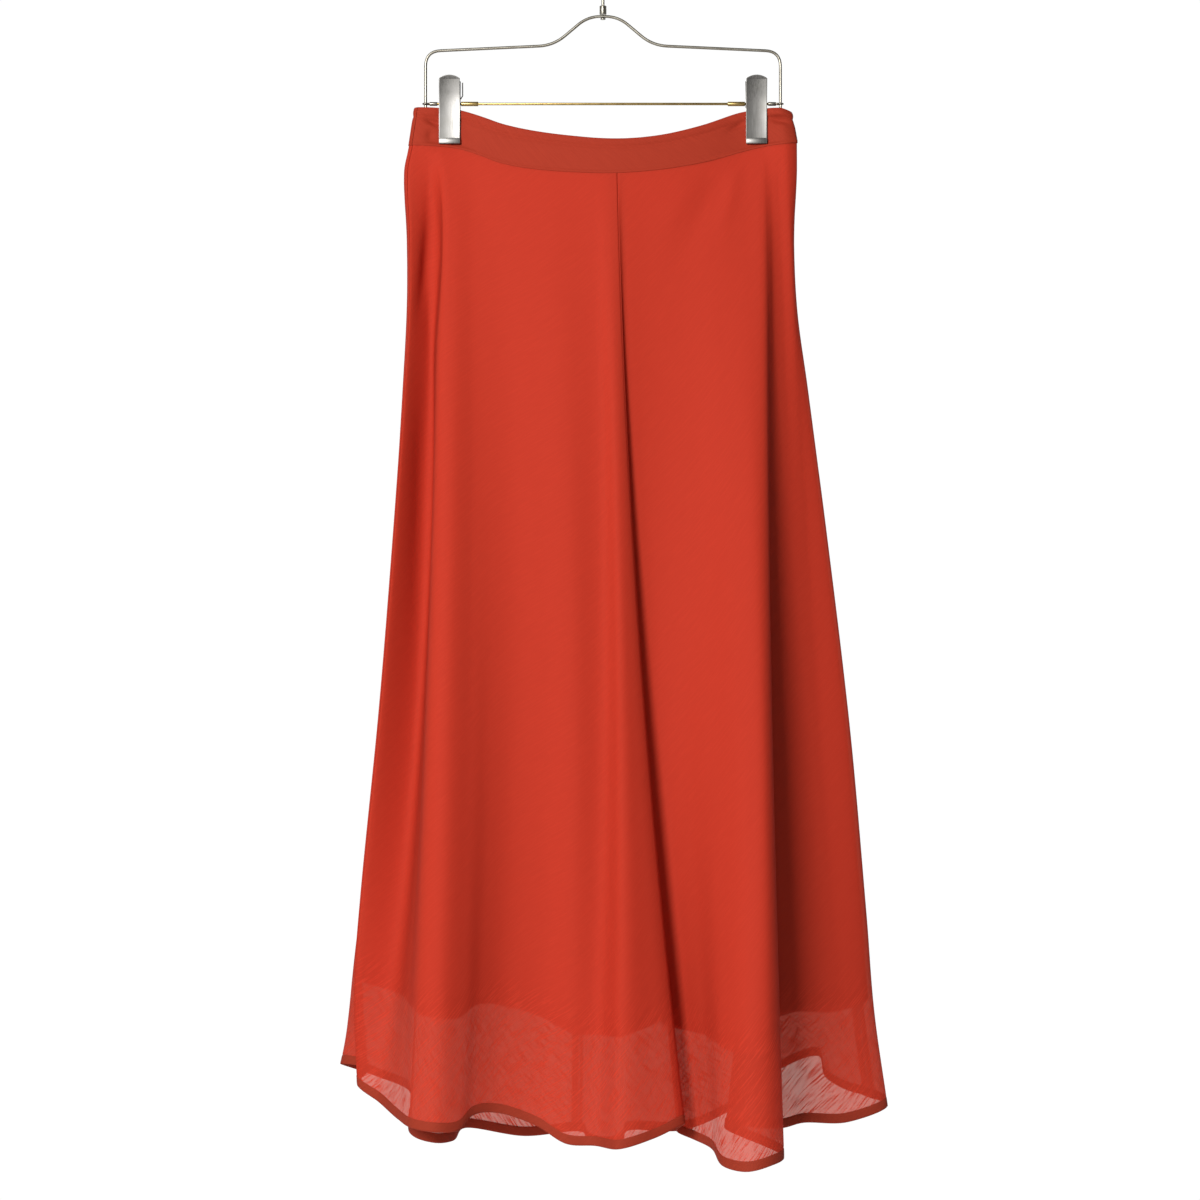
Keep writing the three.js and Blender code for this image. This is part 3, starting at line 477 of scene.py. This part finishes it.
# Joins the doubled edge of a rolled-up grid, fills its two ends and turns the faces outwards.
def close_shell(piece):
    bpy.ops.object.select_all(action="DESELECT")
    bpy.context.view_layer.objects.active = piece
    piece.select_set(True)
    bpy.ops.object.mode_set(mode="EDIT")
    bpy.ops.mesh.select_all(action="SELECT")
    bpy.ops.mesh.remove_doubles(threshold=1e-6)
    bpy.ops.mesh.fill_holes(sides=200)
    bpy.ops.mesh.normals_make_consistent(inside=False)
    bpy.ops.object.mode_set(mode="OBJECT")
    return piece


BANDS = [
    ("waistband_front_cloth", "waistband_front", LEFT_SEAM, RIGHT_SEAM, "front"),
    ("waistband_back_right_cloth", "waistband_back_right", RIGHT_SEAM, BACK_SEAM, "back"),
    ("waistband_back_left_cloth", "waistband_back_left", BACK_SEAM, ROUND, "back"),
]
for name, node, start, end, side in BANDS:
    PIECES[name] = band_shell(name, start, end, side)
    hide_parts(node)


# The zip's coil lies in the slit of the centre back: two rows of loops that lock in turn.
ZIP_END = 0.21
COIL_PITCH = 0.75
COIL_SECTION = [(-0.48, -0.3), (-0.48, 0.05), (-0.25, 0.3), (0.0, 0.12), (0.25, 0.3), (0.48, 0.05), (0.48, -0.3)]


def zip_coil(name):
    band_count = int(36 / COIL_PITCH)
    skirt_count = int(GORE_LENGTH * ZIP_END / COIL_PITCH)
    band = ClothRows(band_folds, BACK_SEAM, BACK_SEAM + 1, np.linspace(0.01, 1, band_count))
    skirt = ClothRows(skirt_folds, BACK_SEAM, BACK_SEAM + 1, np.linspace(0, ZIP_END, skirt_count)[1:])
    line = np.concatenate([band.points[:, 0], skirt.points[:, 0]])
    out = np.concatenate([band.normals[:, 0], skirt.normals[:, 0]])
    along = np.gradient(line, axis=0)
    cross = np.cross(along, out)
    cross = cross / np.linalg.norm(cross, axis=1, keepdims=True)
    rows = []
    for k in range(len(line)):
        turn = 1 if k % 2 else -1
        rows.append([
            line[k] + cross[k] * a + out[k] * (b + (0.12 if a * turn > 0 and b > 0.2 else 0.0))
            for a, b in COIL_SECTION
        ])
    grid = np.array(rows)
    grid = np.concatenate([grid, grid[:, :1]], axis=1)
    faces = grid_faces(grid.shape[0], grid.shape[1])
    return close_shell(mesh_piece(name, grid.reshape(-1, 3) * MM, faces))


PIECES["zip_coil"] = zip_coil("zip_coil")
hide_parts("zip_strip")


# Shaping by hand: every hard piece starts from a primitive and is cut, drawn out and rounded.
def begin(name):
    piece = bpy.context.object
    piece.name = name
    piece.data.name = name
    bpy.ops.object.transform_apply(location=True, rotation=True, scale=True)
    bpy.ops.object.mode_set(mode="EDIT")
    bpy.ops.mesh.select_mode(type="FACE")
    return piece


def select_faces(piece, wanted):
    bpy.ops.mesh.select_mode(type="FACE")
    bpy.ops.mesh.select_all(action="DESELECT")
    cage = bmesh.from_edit_mesh(piece.data)
    for face in cage.faces:
        face.select_set(bool(wanted(face.calc_center_median() / MM, face.normal)))
    bmesh.update_edit_mesh(piece.data)


def select_corners(piece, wanted):
    bpy.ops.mesh.select_mode(type="VERT")
    bpy.ops.mesh.select_all(action="DESELECT")
    cage = bmesh.from_edit_mesh(piece.data)
    for vert in cage.verts:
        vert.select_set(bool(wanted(vert.co / MM)))
    cage.select_flush_mode()
    bmesh.update_edit_mesh(piece.data)


def cut(point, direction, clear=False):
    bpy.ops.mesh.select_all(action="SELECT")
    bpy.ops.mesh.bisect(plane_co=[v * MM for v in point], plane_no=direction, clear_outer=clear, use_fill=clear)


def finish_hard(piece, bevel, segments=2):
    bpy.ops.object.mode_set(mode="OBJECT")
    modifier = piece.modifiers.new("rounded edges", "BEVEL")
    modifier.width = bevel * MM
    modifier.segments = segments
    modifier.limit_method = "ANGLE"
    modifier.angle_limit = math.radians(38)
    bpy.ops.object.modifier_apply(modifier=modifier.name)
    bpy.ops.object.shade_smooth_by_angle(angle=math.radians(38))
    return piece


# A copy with its own mesh, moved along X and, where mirrored, turned to the other side of the hanger.
def copied(piece, name, shift, mirrored=False):
    copy = bpy.data.objects.new(name, piece.data.copy())
    copy.data.name = name
    bpy.context.scene.collection.objects.link(copy)
    copy.data.transform(Matrix.Translation((shift * MM, 0, 0)))
    if mirrored:
        copy.data.transform(Matrix.Diagonal((1, -1, 1, 1)))
        copy.data.flip_normals()
    return copy


CLIP_X = 142.5
BAR_Z = -152.9
CLIP = {"half": 9.75, "arch": 16.0, "top": -126.9, "jaw": -186.0, "foot": -190.6, "plate": 1.0, "lip": 0.9}
PLATE_IN = 4.4
PLATE_LEAN = math.atan(4.2 / 26)
JAW_OUT = 0.4
RIM = {"width": 1.0, "depth": 0.22}


# One pressed plate: an arched top that leans out, a sunk face between two rims, a rolled lip at the jaw.
def clip_plate(name):
    middle = PLATE_IN + CLIP["plate"] / 2
    centre = CLIP["top"] - CLIP["arch"]
    bpy.ops.object.select_all(action="DESELECT")
    bpy.ops.mesh.primitive_cylinder_add(
        vertices=120, radius=CLIP["arch"] * MM, depth=CLIP["plate"] * MM,
        location=(-CLIP_X * MM, middle * MM, centre * MM), rotation=(math.pi / 2, 0, 0),
    )
    piece = begin(name)
    cut((-CLIP_X + CLIP["half"], 0, 0), (1, 0, 0), clear=True)
    cut((-CLIP_X - CLIP["half"], 0, 0), (-1, 0, 0), clear=True)
    cut((0, 0, centre), (0, 0, -1), clear=True)
    level = centre
    for below in (BAR_Z, CLIP["jaw"], CLIP["foot"]):
        select_faces(piece, lambda place, facing: facing.z < -0.9)
        bpy.ops.mesh.extrude_region_move(TRANSFORM_OT_translate={"value": (0, 0, (below - level) * MM)})
        level = below
    select_faces(piece, lambda place, facing: facing.y > 0.9 and place.z < CLIP["jaw"])
    bpy.ops.mesh.extrude_region_move(TRANSFORM_OT_translate={"value": (0, CLIP["lip"] * MM, 0)})
    select_faces(piece, lambda place, facing: facing.y > 0.9 and place.z > CLIP["jaw"])
    bpy.ops.mesh.inset(thickness=RIM["width"] * MM, depth=-RIM["depth"] * MM)
    select_corners(piece, lambda place: place.z < CLIP["jaw"] + 2)
    bpy.ops.transform.translate(value=(0, JAW_OUT * MM, 0))
    select_corners(piece, lambda place: place.z > BAR_Z + 0.5)
    bpy.ops.transform.rotate(value=PLATE_LEAN, orient_axis="X", center_override=(0, middle * MM, BAR_Z * MM))
    return finish_hard(piece, 0.2)


# A coil spring on the bar, drawn round by the Screw modifier from its wire's section.
SPRING = {"wire": 0.6, "radius": 3.3, "pitch": 1.5, "coils": 7}


def clip_spring(name):
    length = SPRING["pitch"] * SPRING["coils"]
    bpy.ops.object.select_all(action="DESELECT")
    bpy.ops.mesh.primitive_circle_add(
        vertices=12, radius=SPRING["wire"] * MM, location=(0, 0, 0), rotation=(math.pi / 2, 0, 0)
    )
    piece = begin(name)
    bpy.ops.mesh.select_all(action="SELECT")
    bpy.ops.transform.translate(value=(0, 0, SPRING["radius"] * MM))
    bpy.ops.object.mode_set(mode="OBJECT")
    screw = piece.modifiers.new("coils", "SCREW")
    screw.axis = "X"
    screw.screw_offset = SPRING["pitch"] * MM
    screw.iterations = SPRING["coils"]
    screw.steps = 20
    screw.render_steps = 20
    bpy.ops.object.modifier_apply(modifier=screw.name)
    piece.location = ((-CLIP_X - length / 2) * MM, 0, BAR_Z * MM)
    bpy.ops.object.transform_apply(location=True, rotation=True, scale=True)
    close_shell(piece)
    bpy.ops.object.shade_smooth_by_angle(angle=math.radians(50))
    return piece


# Wire bent along the given points.
def bent_wire(name, points, radius):
    curve = bpy.data.curves.new(name, "CURVE")
    curve.dimensions = "3D"
    curve.bevel_depth = radius * MM
    curve.bevel_resolution = 3
    curve.use_fill_caps = True
    spline = curve.splines.new("POLY")
    spline.points.add(len(points) - 1)
    for point, place in zip(spline.points, points):
        point.co = (place[0] * MM, place[1] * MM, place[2] * MM, 1)
    piece = bpy.data.objects.new(name, curve)
    bpy.context.scene.collection.objects.link(piece)
    bpy.ops.object.select_all(action="DESELECT")
    bpy.context.view_layer.objects.active = piece
    piece.select_set(True)
    bpy.ops.object.convert(target="MESH")
    bpy.ops.object.shade_smooth_by_angle(angle=math.radians(50))
    return bpy.context.object


# A bent line in the hanger's plane: straight runs with rounded corners.
def rounded_run(corners, steps=8):
    points = []
    for i, (x, z, radius) in enumerate(corners):
        corner = Vector((x, 0, z))
        if radius == 0:
            points.append(corner)
            continue
        before = Vector((corners[i - 1][0], 0, corners[i - 1][1]))
        after = Vector((corners[i + 1][0], 0, corners[i + 1][1]))
        start = corner + (before - corner).normalized() * radius
        end = corner + (after - corner).normalized() * radius
        for k in range(steps + 1):
            t = k / steps
            points.append(start * (1 - t) ** 2 + corner * 2 * t * (1 - t) + end * t**2)
    return points


FRAME_HALF = 165
FRAME_CORNERS = [(FRAME_HALF, -156.6, 0), (FRAME_HALF, -104, 14), (46, -98.5, 14), (14, -71.5, 12)]
WIRE = 1.4
HOOK = {"ring": 21.5, "centre": -20, "tip": 205, "bend": -35, "pull": 10, "top": -52, "foot": -61.5, "wire": 1.5}


def hook_run():
    def on_ring(degrees):
        angle = math.radians(degrees)
        return Vector((HOOK["ring"] * math.cos(angle), 0, HOOK["centre"] + HOOK["ring"] * math.sin(angle)))
    points = [on_ring(lerp(HOOK["tip"], HOOK["bend"], k / 40)) for k in range(40)]
    bend = on_ring(HOOK["bend"])
    angle = math.radians(HOOK["bend"])
    leaving = bend + Vector((math.sin(angle), 0, -math.cos(angle))) * HOOK["pull"]
    arriving = Vector((0, 0, HOOK["top"] + HOOK["pull"]))
    stem = Vector((0, 0, HOOK["top"]))
    for k in range(13):
        t = k / 12
        points.append(bend * (1 - t) ** 3 + leaving * 3 * t * (1 - t) ** 2 + arriving * 3 * t**2 * (1 - t) + stem * t**3)
    return points + [Vector((0, 0, HOOK["foot"]))]


# A turned round piece: a cylinder along an axis, its ends sunk inside a lip of the given wall.
def turned(name, radius, start, end, along, wall, sink, bevel):
    middle = (Vector(start) + Vector(end)) / 2
    rotation = (0, math.pi / 2, 0) if along == "X" else (0, 0, 0)
    bpy.ops.object.select_all(action="DESELECT")
    bpy.ops.mesh.primitive_cylinder_add(
        vertices=32, radius=radius * MM, depth=(Vector(end) - Vector(start)).length * MM,
        location=middle * MM, rotation=rotation,
    )
    piece = begin(name)
    axis = 0 if along == "X" else 2
    for sign in (-1, 1):
        select_faces(piece, lambda place, facing: facing[axis] * sign > 0.9)
        bpy.ops.mesh.inset(thickness=wall * MM, depth=-sink * MM)
    return finish_hard(piece, bevel)


# The collar that the hook turns in, with a groove rolled round it.
def collar(name):
    piece = turned(name, 3.25, (0, 0, -69.8), (0, 0, -61.8), "Z", 0.8, 0.3, 0.3)
    bpy.ops.object.mode_set(mode="EDIT")
    for level in (-64.6, -64.0):
        cut((0, 0, level), (0, 0, 1))
    select_faces(piece, lambda place, facing: -64.6 < place.z < -64.0 and abs(facing.z) < 0.3)
    bpy.ops.mesh.extrude_region_shrink_fatten(TRANSFORM_OT_shrink_fatten={"value": -0.35 * MM})
    bpy.ops.object.mode_set(mode="OBJECT")
    bpy.ops.object.shade_smooth_by_angle(angle=math.radians(38))
    return piece


# The bar's end is an eye closed round the frame's wire, with a short neck drawn out towards the bar.
def bar_eye(name):
    bpy.ops.object.select_all(action="DESELECT")
    bpy.ops.mesh.primitive_torus_add(
        location=(-FRAME_HALF * MM, 0, BAR_Z * MM), major_segments=32, minor_segments=12,
        major_radius=2.35 * MM, minor_radius=0.8 * MM,
    )
    piece = begin(name)
    select_faces(piece, lambda place, facing: facing.x > 0.85 and place.x > -FRAME_HALF + 2.8)
    bpy.ops.mesh.extrude_region_move(TRANSFORM_OT_translate={"value": (1.2 * MM, 0, 0)})
    return finish_hard(piece, 0.12)


def stands_for(piece, node):
    PIECES[piece.name] = piece
    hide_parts(node)
    return piece


left_back = stands_for(clip_plate("clip_left_back_pressed"), "clip_left_back_plate")
stands_for(copied(left_back, "clip_left_front_pressed", 0, True), "clip_left_front_plate")
stands_for(copied(left_back, "clip_right_back_pressed", 2 * CLIP_X), "clip_right_back_plate")
stands_for(copied(left_back, "clip_right_front_pressed", 2 * CLIP_X, True), "clip_right_front_plate")
left_spring = stands_for(clip_spring("clip_left_coil"), "clip_left_spring")
stands_for(copied(left_spring, "clip_right_coil", 2 * CLIP_X), "clip_right_spring")
tail_start = -CLIP_X + SPRING["pitch"] * SPRING["coils"] / 2 + 1.5
TAIL = [(tail_start, 0, BAR_Z + 3.3), (tail_start + 3.5, -1, BAR_Z + 4.5), (-130.4, -3, -146), (-130.4, -5, -134)]
PIECES["clip_left_spring_tail"] = bent_wire("clip_left_spring_tail", TAIL, SPRING["wire"])

right_side = FRAME_CORNERS
left_side = [(-x, z, radius) for x, z, radius in FRAME_CORNERS]
stands_for(bent_wire("frame_wire", rounded_run(left_side + right_side[::-1]), WIRE), "hanger_frame")
stands_for(bent_wire("hook_wire", hook_run(), HOOK["wire"]), "hanger_hook")
stands_for(collar("hook_collar"), "hanger_collar")
stands_for(turned("hook_rivet", 2.4, (0, 0, -74.6), (0, 0, -73.2), "Z", 0.7, 0.15, 0.4), "hanger_rivet")
stands_for(turned("cross_bar", 1.2, (-163.3, 0, BAR_Z), (163.3, 0, BAR_Z), "X", 0.4, 0.1, 0.15), "hanger_bar")
sleeve = stands_for(
    turned("clip_left_stop", 2.1, (-132, 0, BAR_Z), (-116, 0, BAR_Z), "X", 0.5, 0.4, 0.15), "clip_left_sleeve"
)
stands_for(copied(sleeve, "clip_right_stop", 248), "clip_right_sleeve")
left_eye = bar_eye("bar_eye_left")
PIECES[left_eye.name] = left_eye
right_eye = copied(left_eye, "bar_eye_right", 0)
right_eye.data.transform(Matrix.Diagonal((-1, 1, 1, 1)))
right_eye.data.flip_normals()
PIECES[right_eye.name] = right_eye
left_crimp = turned("bar_crimp_left", 1.8, (-161.2, 0, BAR_Z), (-154.0, 0, BAR_Z), "X", 0.5, 0.3, 0.2)
PIECES[left_crimp.name] = left_crimp
PIECES["bar_crimp_right"] = copied(left_crimp, "bar_crimp_right", 314.8)



# A colour given as the eye sees it, made linear.
def linear(hex_colour):
    channels = [int(hex_colour[i:i + 2], 16) / 255 for i in (0, 2, 4)]
    return tuple(c / 12.92 if c <= 0.04045 else ((c + 0.055) / 1.055) ** 2.4 for c in channels) + (1.0,)


# Adds a node with its settings, its fixed inputs and its links.
def add(tree, kind, settings=None, values=None, links=None):
    node = tree.nodes.new(kind)
    for key, value in (settings or {}).items():
        setattr(node, key, value)
    for socket, value in (values or {}).items():
        node.inputs[socket].default_value = value
    for socket, source in (links or {}).items():
        tree.links.new(source, node.inputs[socket])
    return node


def new_material(name):
    material = bpy.data.materials.new(name)
    material.use_nodes = True
    material.node_tree.nodes.clear()
    return material, material.node_tree


# Red-orange viscose crepe: matt from its tightly twisted threads, slightly see-through between them,
# with long thicker threads that show as fine streaks across the cloth.
def crepe_material(name, sheer, light, dark):
    material, tree = new_material(name)
    uv = add(tree, "ShaderNodeTexCoord").outputs["UV"]
    across = add(tree, "ShaderNodeMapping", {"vector_type": "TEXTURE"},
                 {"Rotation": (0, 0, math.radians(43)), "Scale": (1 / 40, 1 / 800, 1)}, {"Vector": uv})
    slub = add(tree, "ShaderNodeTexNoise", values={"Scale": 1.0, "Detail": 3.0, "Roughness": 0.6},
               links={"Vector": across.outputs[0]})
    lengthwise = add(tree, "ShaderNodeMapping", values={"Scale": (900, 20, 1)}, links={"Vector": uv})
    warp = add(tree, "ShaderNodeTexNoise", values={"Scale": 1.0, "Detail": 1.0},
               links={"Vector": lengthwise.outputs[0]})
    grain = add(tree, "ShaderNodeTexNoise", values={"Scale": 1400.0, "Detail": 1.0}, links={"Vector": uv})
    threads = add(tree, "ShaderNodeMath", {"operation": "MULTIPLY_ADD"}, {1: 0.35},
                  {0: warp.outputs["Fac"], 2: slub.outputs["Fac"]})
    colour = add(tree, "ShaderNodeValToRGB", links={"Fac": slub.outputs["Fac"]})
    colour.color_ramp.elements[0].position = 0.3
    colour.color_ramp.elements[0].color = linear(dark)
    colour.color_ramp.elements[1].position = 0.7
    colour.color_ramp.elements[1].color = linear(light)
    height = add(tree, "ShaderNodeMath", {"operation": "MULTIPLY_ADD"}, {1: 0.6},
                 {0: grain.outputs["Fac"], 2: threads.outputs[0]})
    bump = add(tree, "ShaderNodeBump", values={"Strength": 0.05, "Distance": 0.0003},
               links={"Height": height.outputs[0]})
    face = add(tree, "ShaderNodeBsdfPrincipled",
               values={"Roughness": 0.78, "Specular IOR Level": 0.12},
               links={"Base Color": colour.outputs["Color"], "Normal": bump.outputs["Normal"]})
    glow = add(tree, "ShaderNodeBsdfTranslucent",
               links={"Color": colour.outputs["Color"], "Normal": bump.outputs["Normal"]})
    cloth = add(tree, "ShaderNodeMixShader", values={0: 0.36 if sheer else 0.08},
                links={1: face.outputs[0], 2: glow.outputs[0]})
    output = add(tree, "ShaderNodeOutputMaterial")
    if not sheer:
        tree.links.new(cloth.outputs[0], output.inputs["Surface"])
        return material
    gaps = add(tree, "ShaderNodeMapRange",
               values={"From Min": 0.5, "From Max": 0.6, "To Min": 0.19, "To Max": 0.0},
               links={"Value": slub.outputs["Fac"]})
    # Over the lining the gaps between the threads look almost even, because no light comes from behind.
    place = add(tree, "ShaderNodeSeparateXYZ", links={"Vector": uv})
    below_lining = add(tree, "ShaderNodeMapRange",
                       values={"From Min": -0.795, "From Max": -0.765, "To Min": 1.0, "To Max": 0.12},
                       links={"Value": place.outputs["Y"]})
    opening = add(tree, "ShaderNodeMix", values={"A": 0.11},
                  links={"Factor": below_lining.outputs[0], "B": gaps.outputs[0]})
    clear = add(tree, "ShaderNodeBsdfTransparent", values={"Color": linear("FFEAE0")})
    mixed = add(tree, "ShaderNodeMixShader",
                links={0: opening.outputs[0], 1: cloth.outputs[0], 2: clear.outputs[0]})
    tree.links.new(mixed.outputs[0], output.inputs["Surface"])
    return material


# Polyester lining: a close plain weave in the skirt's colour with a low silky sheen, not see-through.
def lining_material():
    material, tree = new_material("polyester lining")
    uv = add(tree, "ShaderNodeTexCoord").outputs["UV"]
    across = add(tree, "ShaderNodeMapping", values={"Scale": (60, 1100, 1)}, links={"Vector": uv})
    weave = add(tree, "ShaderNodeTexNoise", values={"Scale": 1.0, "Detail": 1.0},
                links={"Vector": across.outputs[0]})
    colour = add(tree, "ShaderNodeValToRGB", links={"Fac": weave.outputs["Fac"]})
    colour.color_ramp.elements[0].position = 0.3
    colour.color_ramp.elements[0].color = linear("C03A27")
    colour.color_ramp.elements[1].position = 0.7
    colour.color_ramp.elements[1].color = linear("C9402C")
    bump = add(tree, "ShaderNodeBump", values={"Strength": 0.15, "Distance": 0.0002},
               links={"Height": weave.outputs["Fac"]})
    face = add(tree, "ShaderNodeBsdfPrincipled", values={"Roughness": 0.5, "Specular IOR Level": 0.3},
               links={"Base Color": colour.outputs["Color"], "Normal": bump.outputs["Normal"]})
    output = add(tree, "ShaderNodeOutputMaterial")
    tree.links.new(face.outputs[0], output.inputs["Surface"])
    return material


# Plated steel: a metal with fine lengthwise brushing and a faint mottle where fingers have dulled it.
def metal_material(name, light, dark, roughness, brushing):
    material, tree = new_material(name)
    place = add(tree, "ShaderNodeTexCoord").outputs["Object"]
    stretched = add(tree, "ShaderNodeMapping", values={"Scale": brushing}, links={"Vector": place})
    lines = add(tree, "ShaderNodeTexNoise", values={"Scale": 1.0, "Detail": 2.0},
                links={"Vector": stretched.outputs[0]})
    mottle = add(tree, "ShaderNodeTexNoise", values={"Scale": 120.0, "Detail": 3.0}, links={"Vector": place})
    colour = add(tree, "ShaderNodeValToRGB", links={"Fac": mottle.outputs["Fac"]})
    colour.color_ramp.elements[0].color = linear(dark)
    colour.color_ramp.elements[0].position = 0.3
    colour.color_ramp.elements[1].color = linear(light)
    colour.color_ramp.elements[1].position = 0.7
    rough = add(tree, "ShaderNodeMapRange",
                values={"From Min": 0.3, "From Max": 0.7, "To Min": roughness - 0.05, "To Max": roughness + 0.06},
                links={"Value": lines.outputs["Fac"]})
    bump = add(tree, "ShaderNodeBump", values={"Strength": 0.02, "Distance": 0.0001},
               links={"Height": lines.outputs["Fac"]})
    face = add(tree, "ShaderNodeBsdfPrincipled", values={"Metallic": 0.9},
               links={"Base Color": colour.outputs["Color"], "Roughness": rough.outputs[0],
                      "Normal": bump.outputs["Normal"]})
    output = add(tree, "ShaderNodeOutputMaterial")
    tree.links.new(face.outputs[0], output.inputs["Surface"])
    return material


# Soft vinyl: matt off-white with a faint moulded grain.
def vinyl_material():
    material, tree = new_material("moulded vinyl")
    place = add(tree, "ShaderNodeTexCoord").outputs["Object"]
    grain = add(tree, "ShaderNodeTexNoise", values={"Scale": 900.0, "Detail": 2.0}, links={"Vector": place})
    colour = add(tree, "ShaderNodeValToRGB", links={"Fac": grain.outputs["Fac"]})
    colour.color_ramp.elements[0].color = linear("DCD9D0")
    colour.color_ramp.elements[1].color = linear("EDEBE4")
    bump = add(tree, "ShaderNodeBump", values={"Strength": 0.1, "Distance": 0.0001},
               links={"Height": grain.outputs["Fac"]})
    face = add(tree, "ShaderNodeBsdfPrincipled", values={"Roughness": 0.6},
               links={"Base Color": colour.outputs["Color"], "Normal": bump.outputs["Normal"]})
    output = add(tree, "ShaderNodeOutputMaterial")
    tree.links.new(face.outputs[0], output.inputs["Surface"])
    return material


sheer_crepe = crepe_material("sheer crepe", True, "CC402B", "C93E2A")
# Painted shade: the waistband's crepe is the same crepe given a darker colour, so the band looks shaded; the zip
# coil takes it too.
layered_crepe_painted_shade = crepe_material("layered crepe with painted shade", False, "9F3320", "982F1D")
# Painted shade: the turned hem's crepe is the same crepe given a darker colour, standing in for the less light
# that passes through the doubled cloth.
hem_crepe_painted_shade = crepe_material("turned hem crepe with painted shade", False, "963422", "8D301E")
lining_cloth = lining_material()
nickel = metal_material("satin nickel plate", "7A7875", "74726E", 0.4, (1500, 1500, 60))
wire_nickel = metal_material("bright nickel wire", "8F8B80", "857F73", 0.36, (60, 60, 60))
brass_plate = metal_material("brass-toned plate", "B39A62", "9C8450", 0.34, (40, 900, 900))
vinyl = vinyl_material()
lacquer = metal_material("lacquered zip metal", "B83A2A", "A53324", 0.4, (900, 900, 200))


def give(piece, materials):
    for material in materials:
        piece.data.materials.append(material)
    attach(piece, "skirt")


for name, *rest in GORES:
    give(PIECES[name], [sheer_crepe, hem_crepe_painted_shade])
for name, *rest in LININGS:
    give(PIECES[name], [lining_cloth, lining_cloth])
# The waistband takes the crepe that is painted darker as shade.
for name, *rest in BANDS:
    give(PIECES[name], [layered_crepe_painted_shade])

give(PIECES["zip_coil"], [layered_crepe_painted_shade])
for name in ("frame_wire", "hook_wire", "hook_collar", "hook_rivet", "bar_eye_left", "bar_eye_right",
             "bar_crimp_left", "bar_crimp_right"):
    give(PIECES[name], [wire_nickel])
for name in ("clip_left_back_pressed", "clip_left_front_pressed", "clip_right_back_pressed",
             "clip_right_front_pressed", "clip_left_coil", "clip_right_coil", "clip_left_spring_tail"):
    give(PIECES[name], [nickel])
for name in ("cross_bar", "clip_left_stop", "clip_right_stop"):
    give(PIECES[name], [brass_plate])

NODE_MATERIALS = {"zip_slider": lacquer, "zip_pull": lacquer}
for side in ("left", "right"):
    for part in ("front_pad", "back_pad"):
        NODE_MATERIALS[f"clip_{side}_{part}"] = vinyl
for node_name, material in NODE_MATERIALS.items():
    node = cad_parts[node_name]
    for material_slot in node.material_slots:
        material_slot.material = material

# The floor is plain and pale, well below the hem.
bpy.ops.object.select_all(action="DESELECT")
bpy.ops.mesh.primitive_plane_add(size=3.6, location=(0, 0, -1.6))
floor = bpy.context.object
floor.name = "floor"
floor_material, floor_tree = new_material("plain pale floor")
floor_face = add(floor_tree, "ShaderNodeBsdfPrincipled",
                 values={"Base Color": linear("F7F6F4"), "Roughness": 0.9})
floor_output = add(floor_tree, "ShaderNodeOutputMaterial")
floor_tree.links.new(floor_face.outputs[0], floor_output.inputs["Surface"])
floor.data.materials.append(floor_material)

# The room: white wherever the camera looks past the skirt. As light, it is bright behind the skirt
# and darker behind the camera.
world = bpy.data.worlds.new("studio")
bpy.context.scene.world = world
world.use_nodes = True
world_tree = world.node_tree
world_tree.nodes.clear()
direction = add(world_tree, "ShaderNodeTexCoord").outputs["Generated"]
axes = add(world_tree, "ShaderNodeSeparateXYZ", links={"Vector": direction})
room = add(world_tree, "ShaderNodeMapRange",
           values={"From Min": 0.1, "From Max": 0.9, "To Min": 0.1, "To Max": 1.25},
           links={"Value": axes.outputs["Y"]})
room_light = add(world_tree, "ShaderNodeBackground", values={"Color": (1, 1, 1, 1)},
                 links={"Strength": room.outputs[0]})
backdrop = add(world_tree, "ShaderNodeBackground", values={"Color": (1, 1, 1, 1), "Strength": 1.02})
seen = add(world_tree, "ShaderNodeLightPath")
world_mix = add(world_tree, "ShaderNodeMixShader",
                links={0: seen.outputs["Is Camera Ray"], 1: room_light.outputs[0], 2: backdrop.outputs[0]})
world_output = add(world_tree, "ShaderNodeOutputWorld")
world_tree.links.new(world_mix.outputs[0], world_output.inputs["Surface"])


def area_light(name, place, target, size, power):
    data = bpy.data.lights.new(name, "AREA")
    data.shape = "RECTANGLE"
    data.size, data.size_y = size
    data.energy = power
    lamp = bpy.data.objects.new(name, data)
    bpy.context.scene.collection.objects.link(lamp)
    lamp.location = place
    lamp.rotation_euler = (Vector(target) - Vector(place)).to_track_quat("-Z", "Y").to_euler()
    return lamp


area_light("key softbox", (-1.2, -3.2, 0.5), (0, 0, -0.6), (0.9, 0.9), 166)

camera_data = bpy.data.cameras.new("camera")
camera = bpy.data.objects.new("camera", camera_data)
bpy.context.scene.collection.objects.link(camera)
CAMERA_DISTANCE = 2.6
VIEW_WIDTH = 1.116
SENSOR = 36.0
camera_data.sensor_width = SENSOR
camera_data.lens = SENSOR * CAMERA_DISTANCE / VIEW_WIDTH
camera.location = (-0.0028, -CAMERA_DISTANCE, -0.6142)
camera.rotation_euler = (math.radians(90), 0, 0)
bpy.context.scene.camera = camera
bpy.context.scene.view_settings.view_transform = "Standard"

bpy.context.view_layer.update()
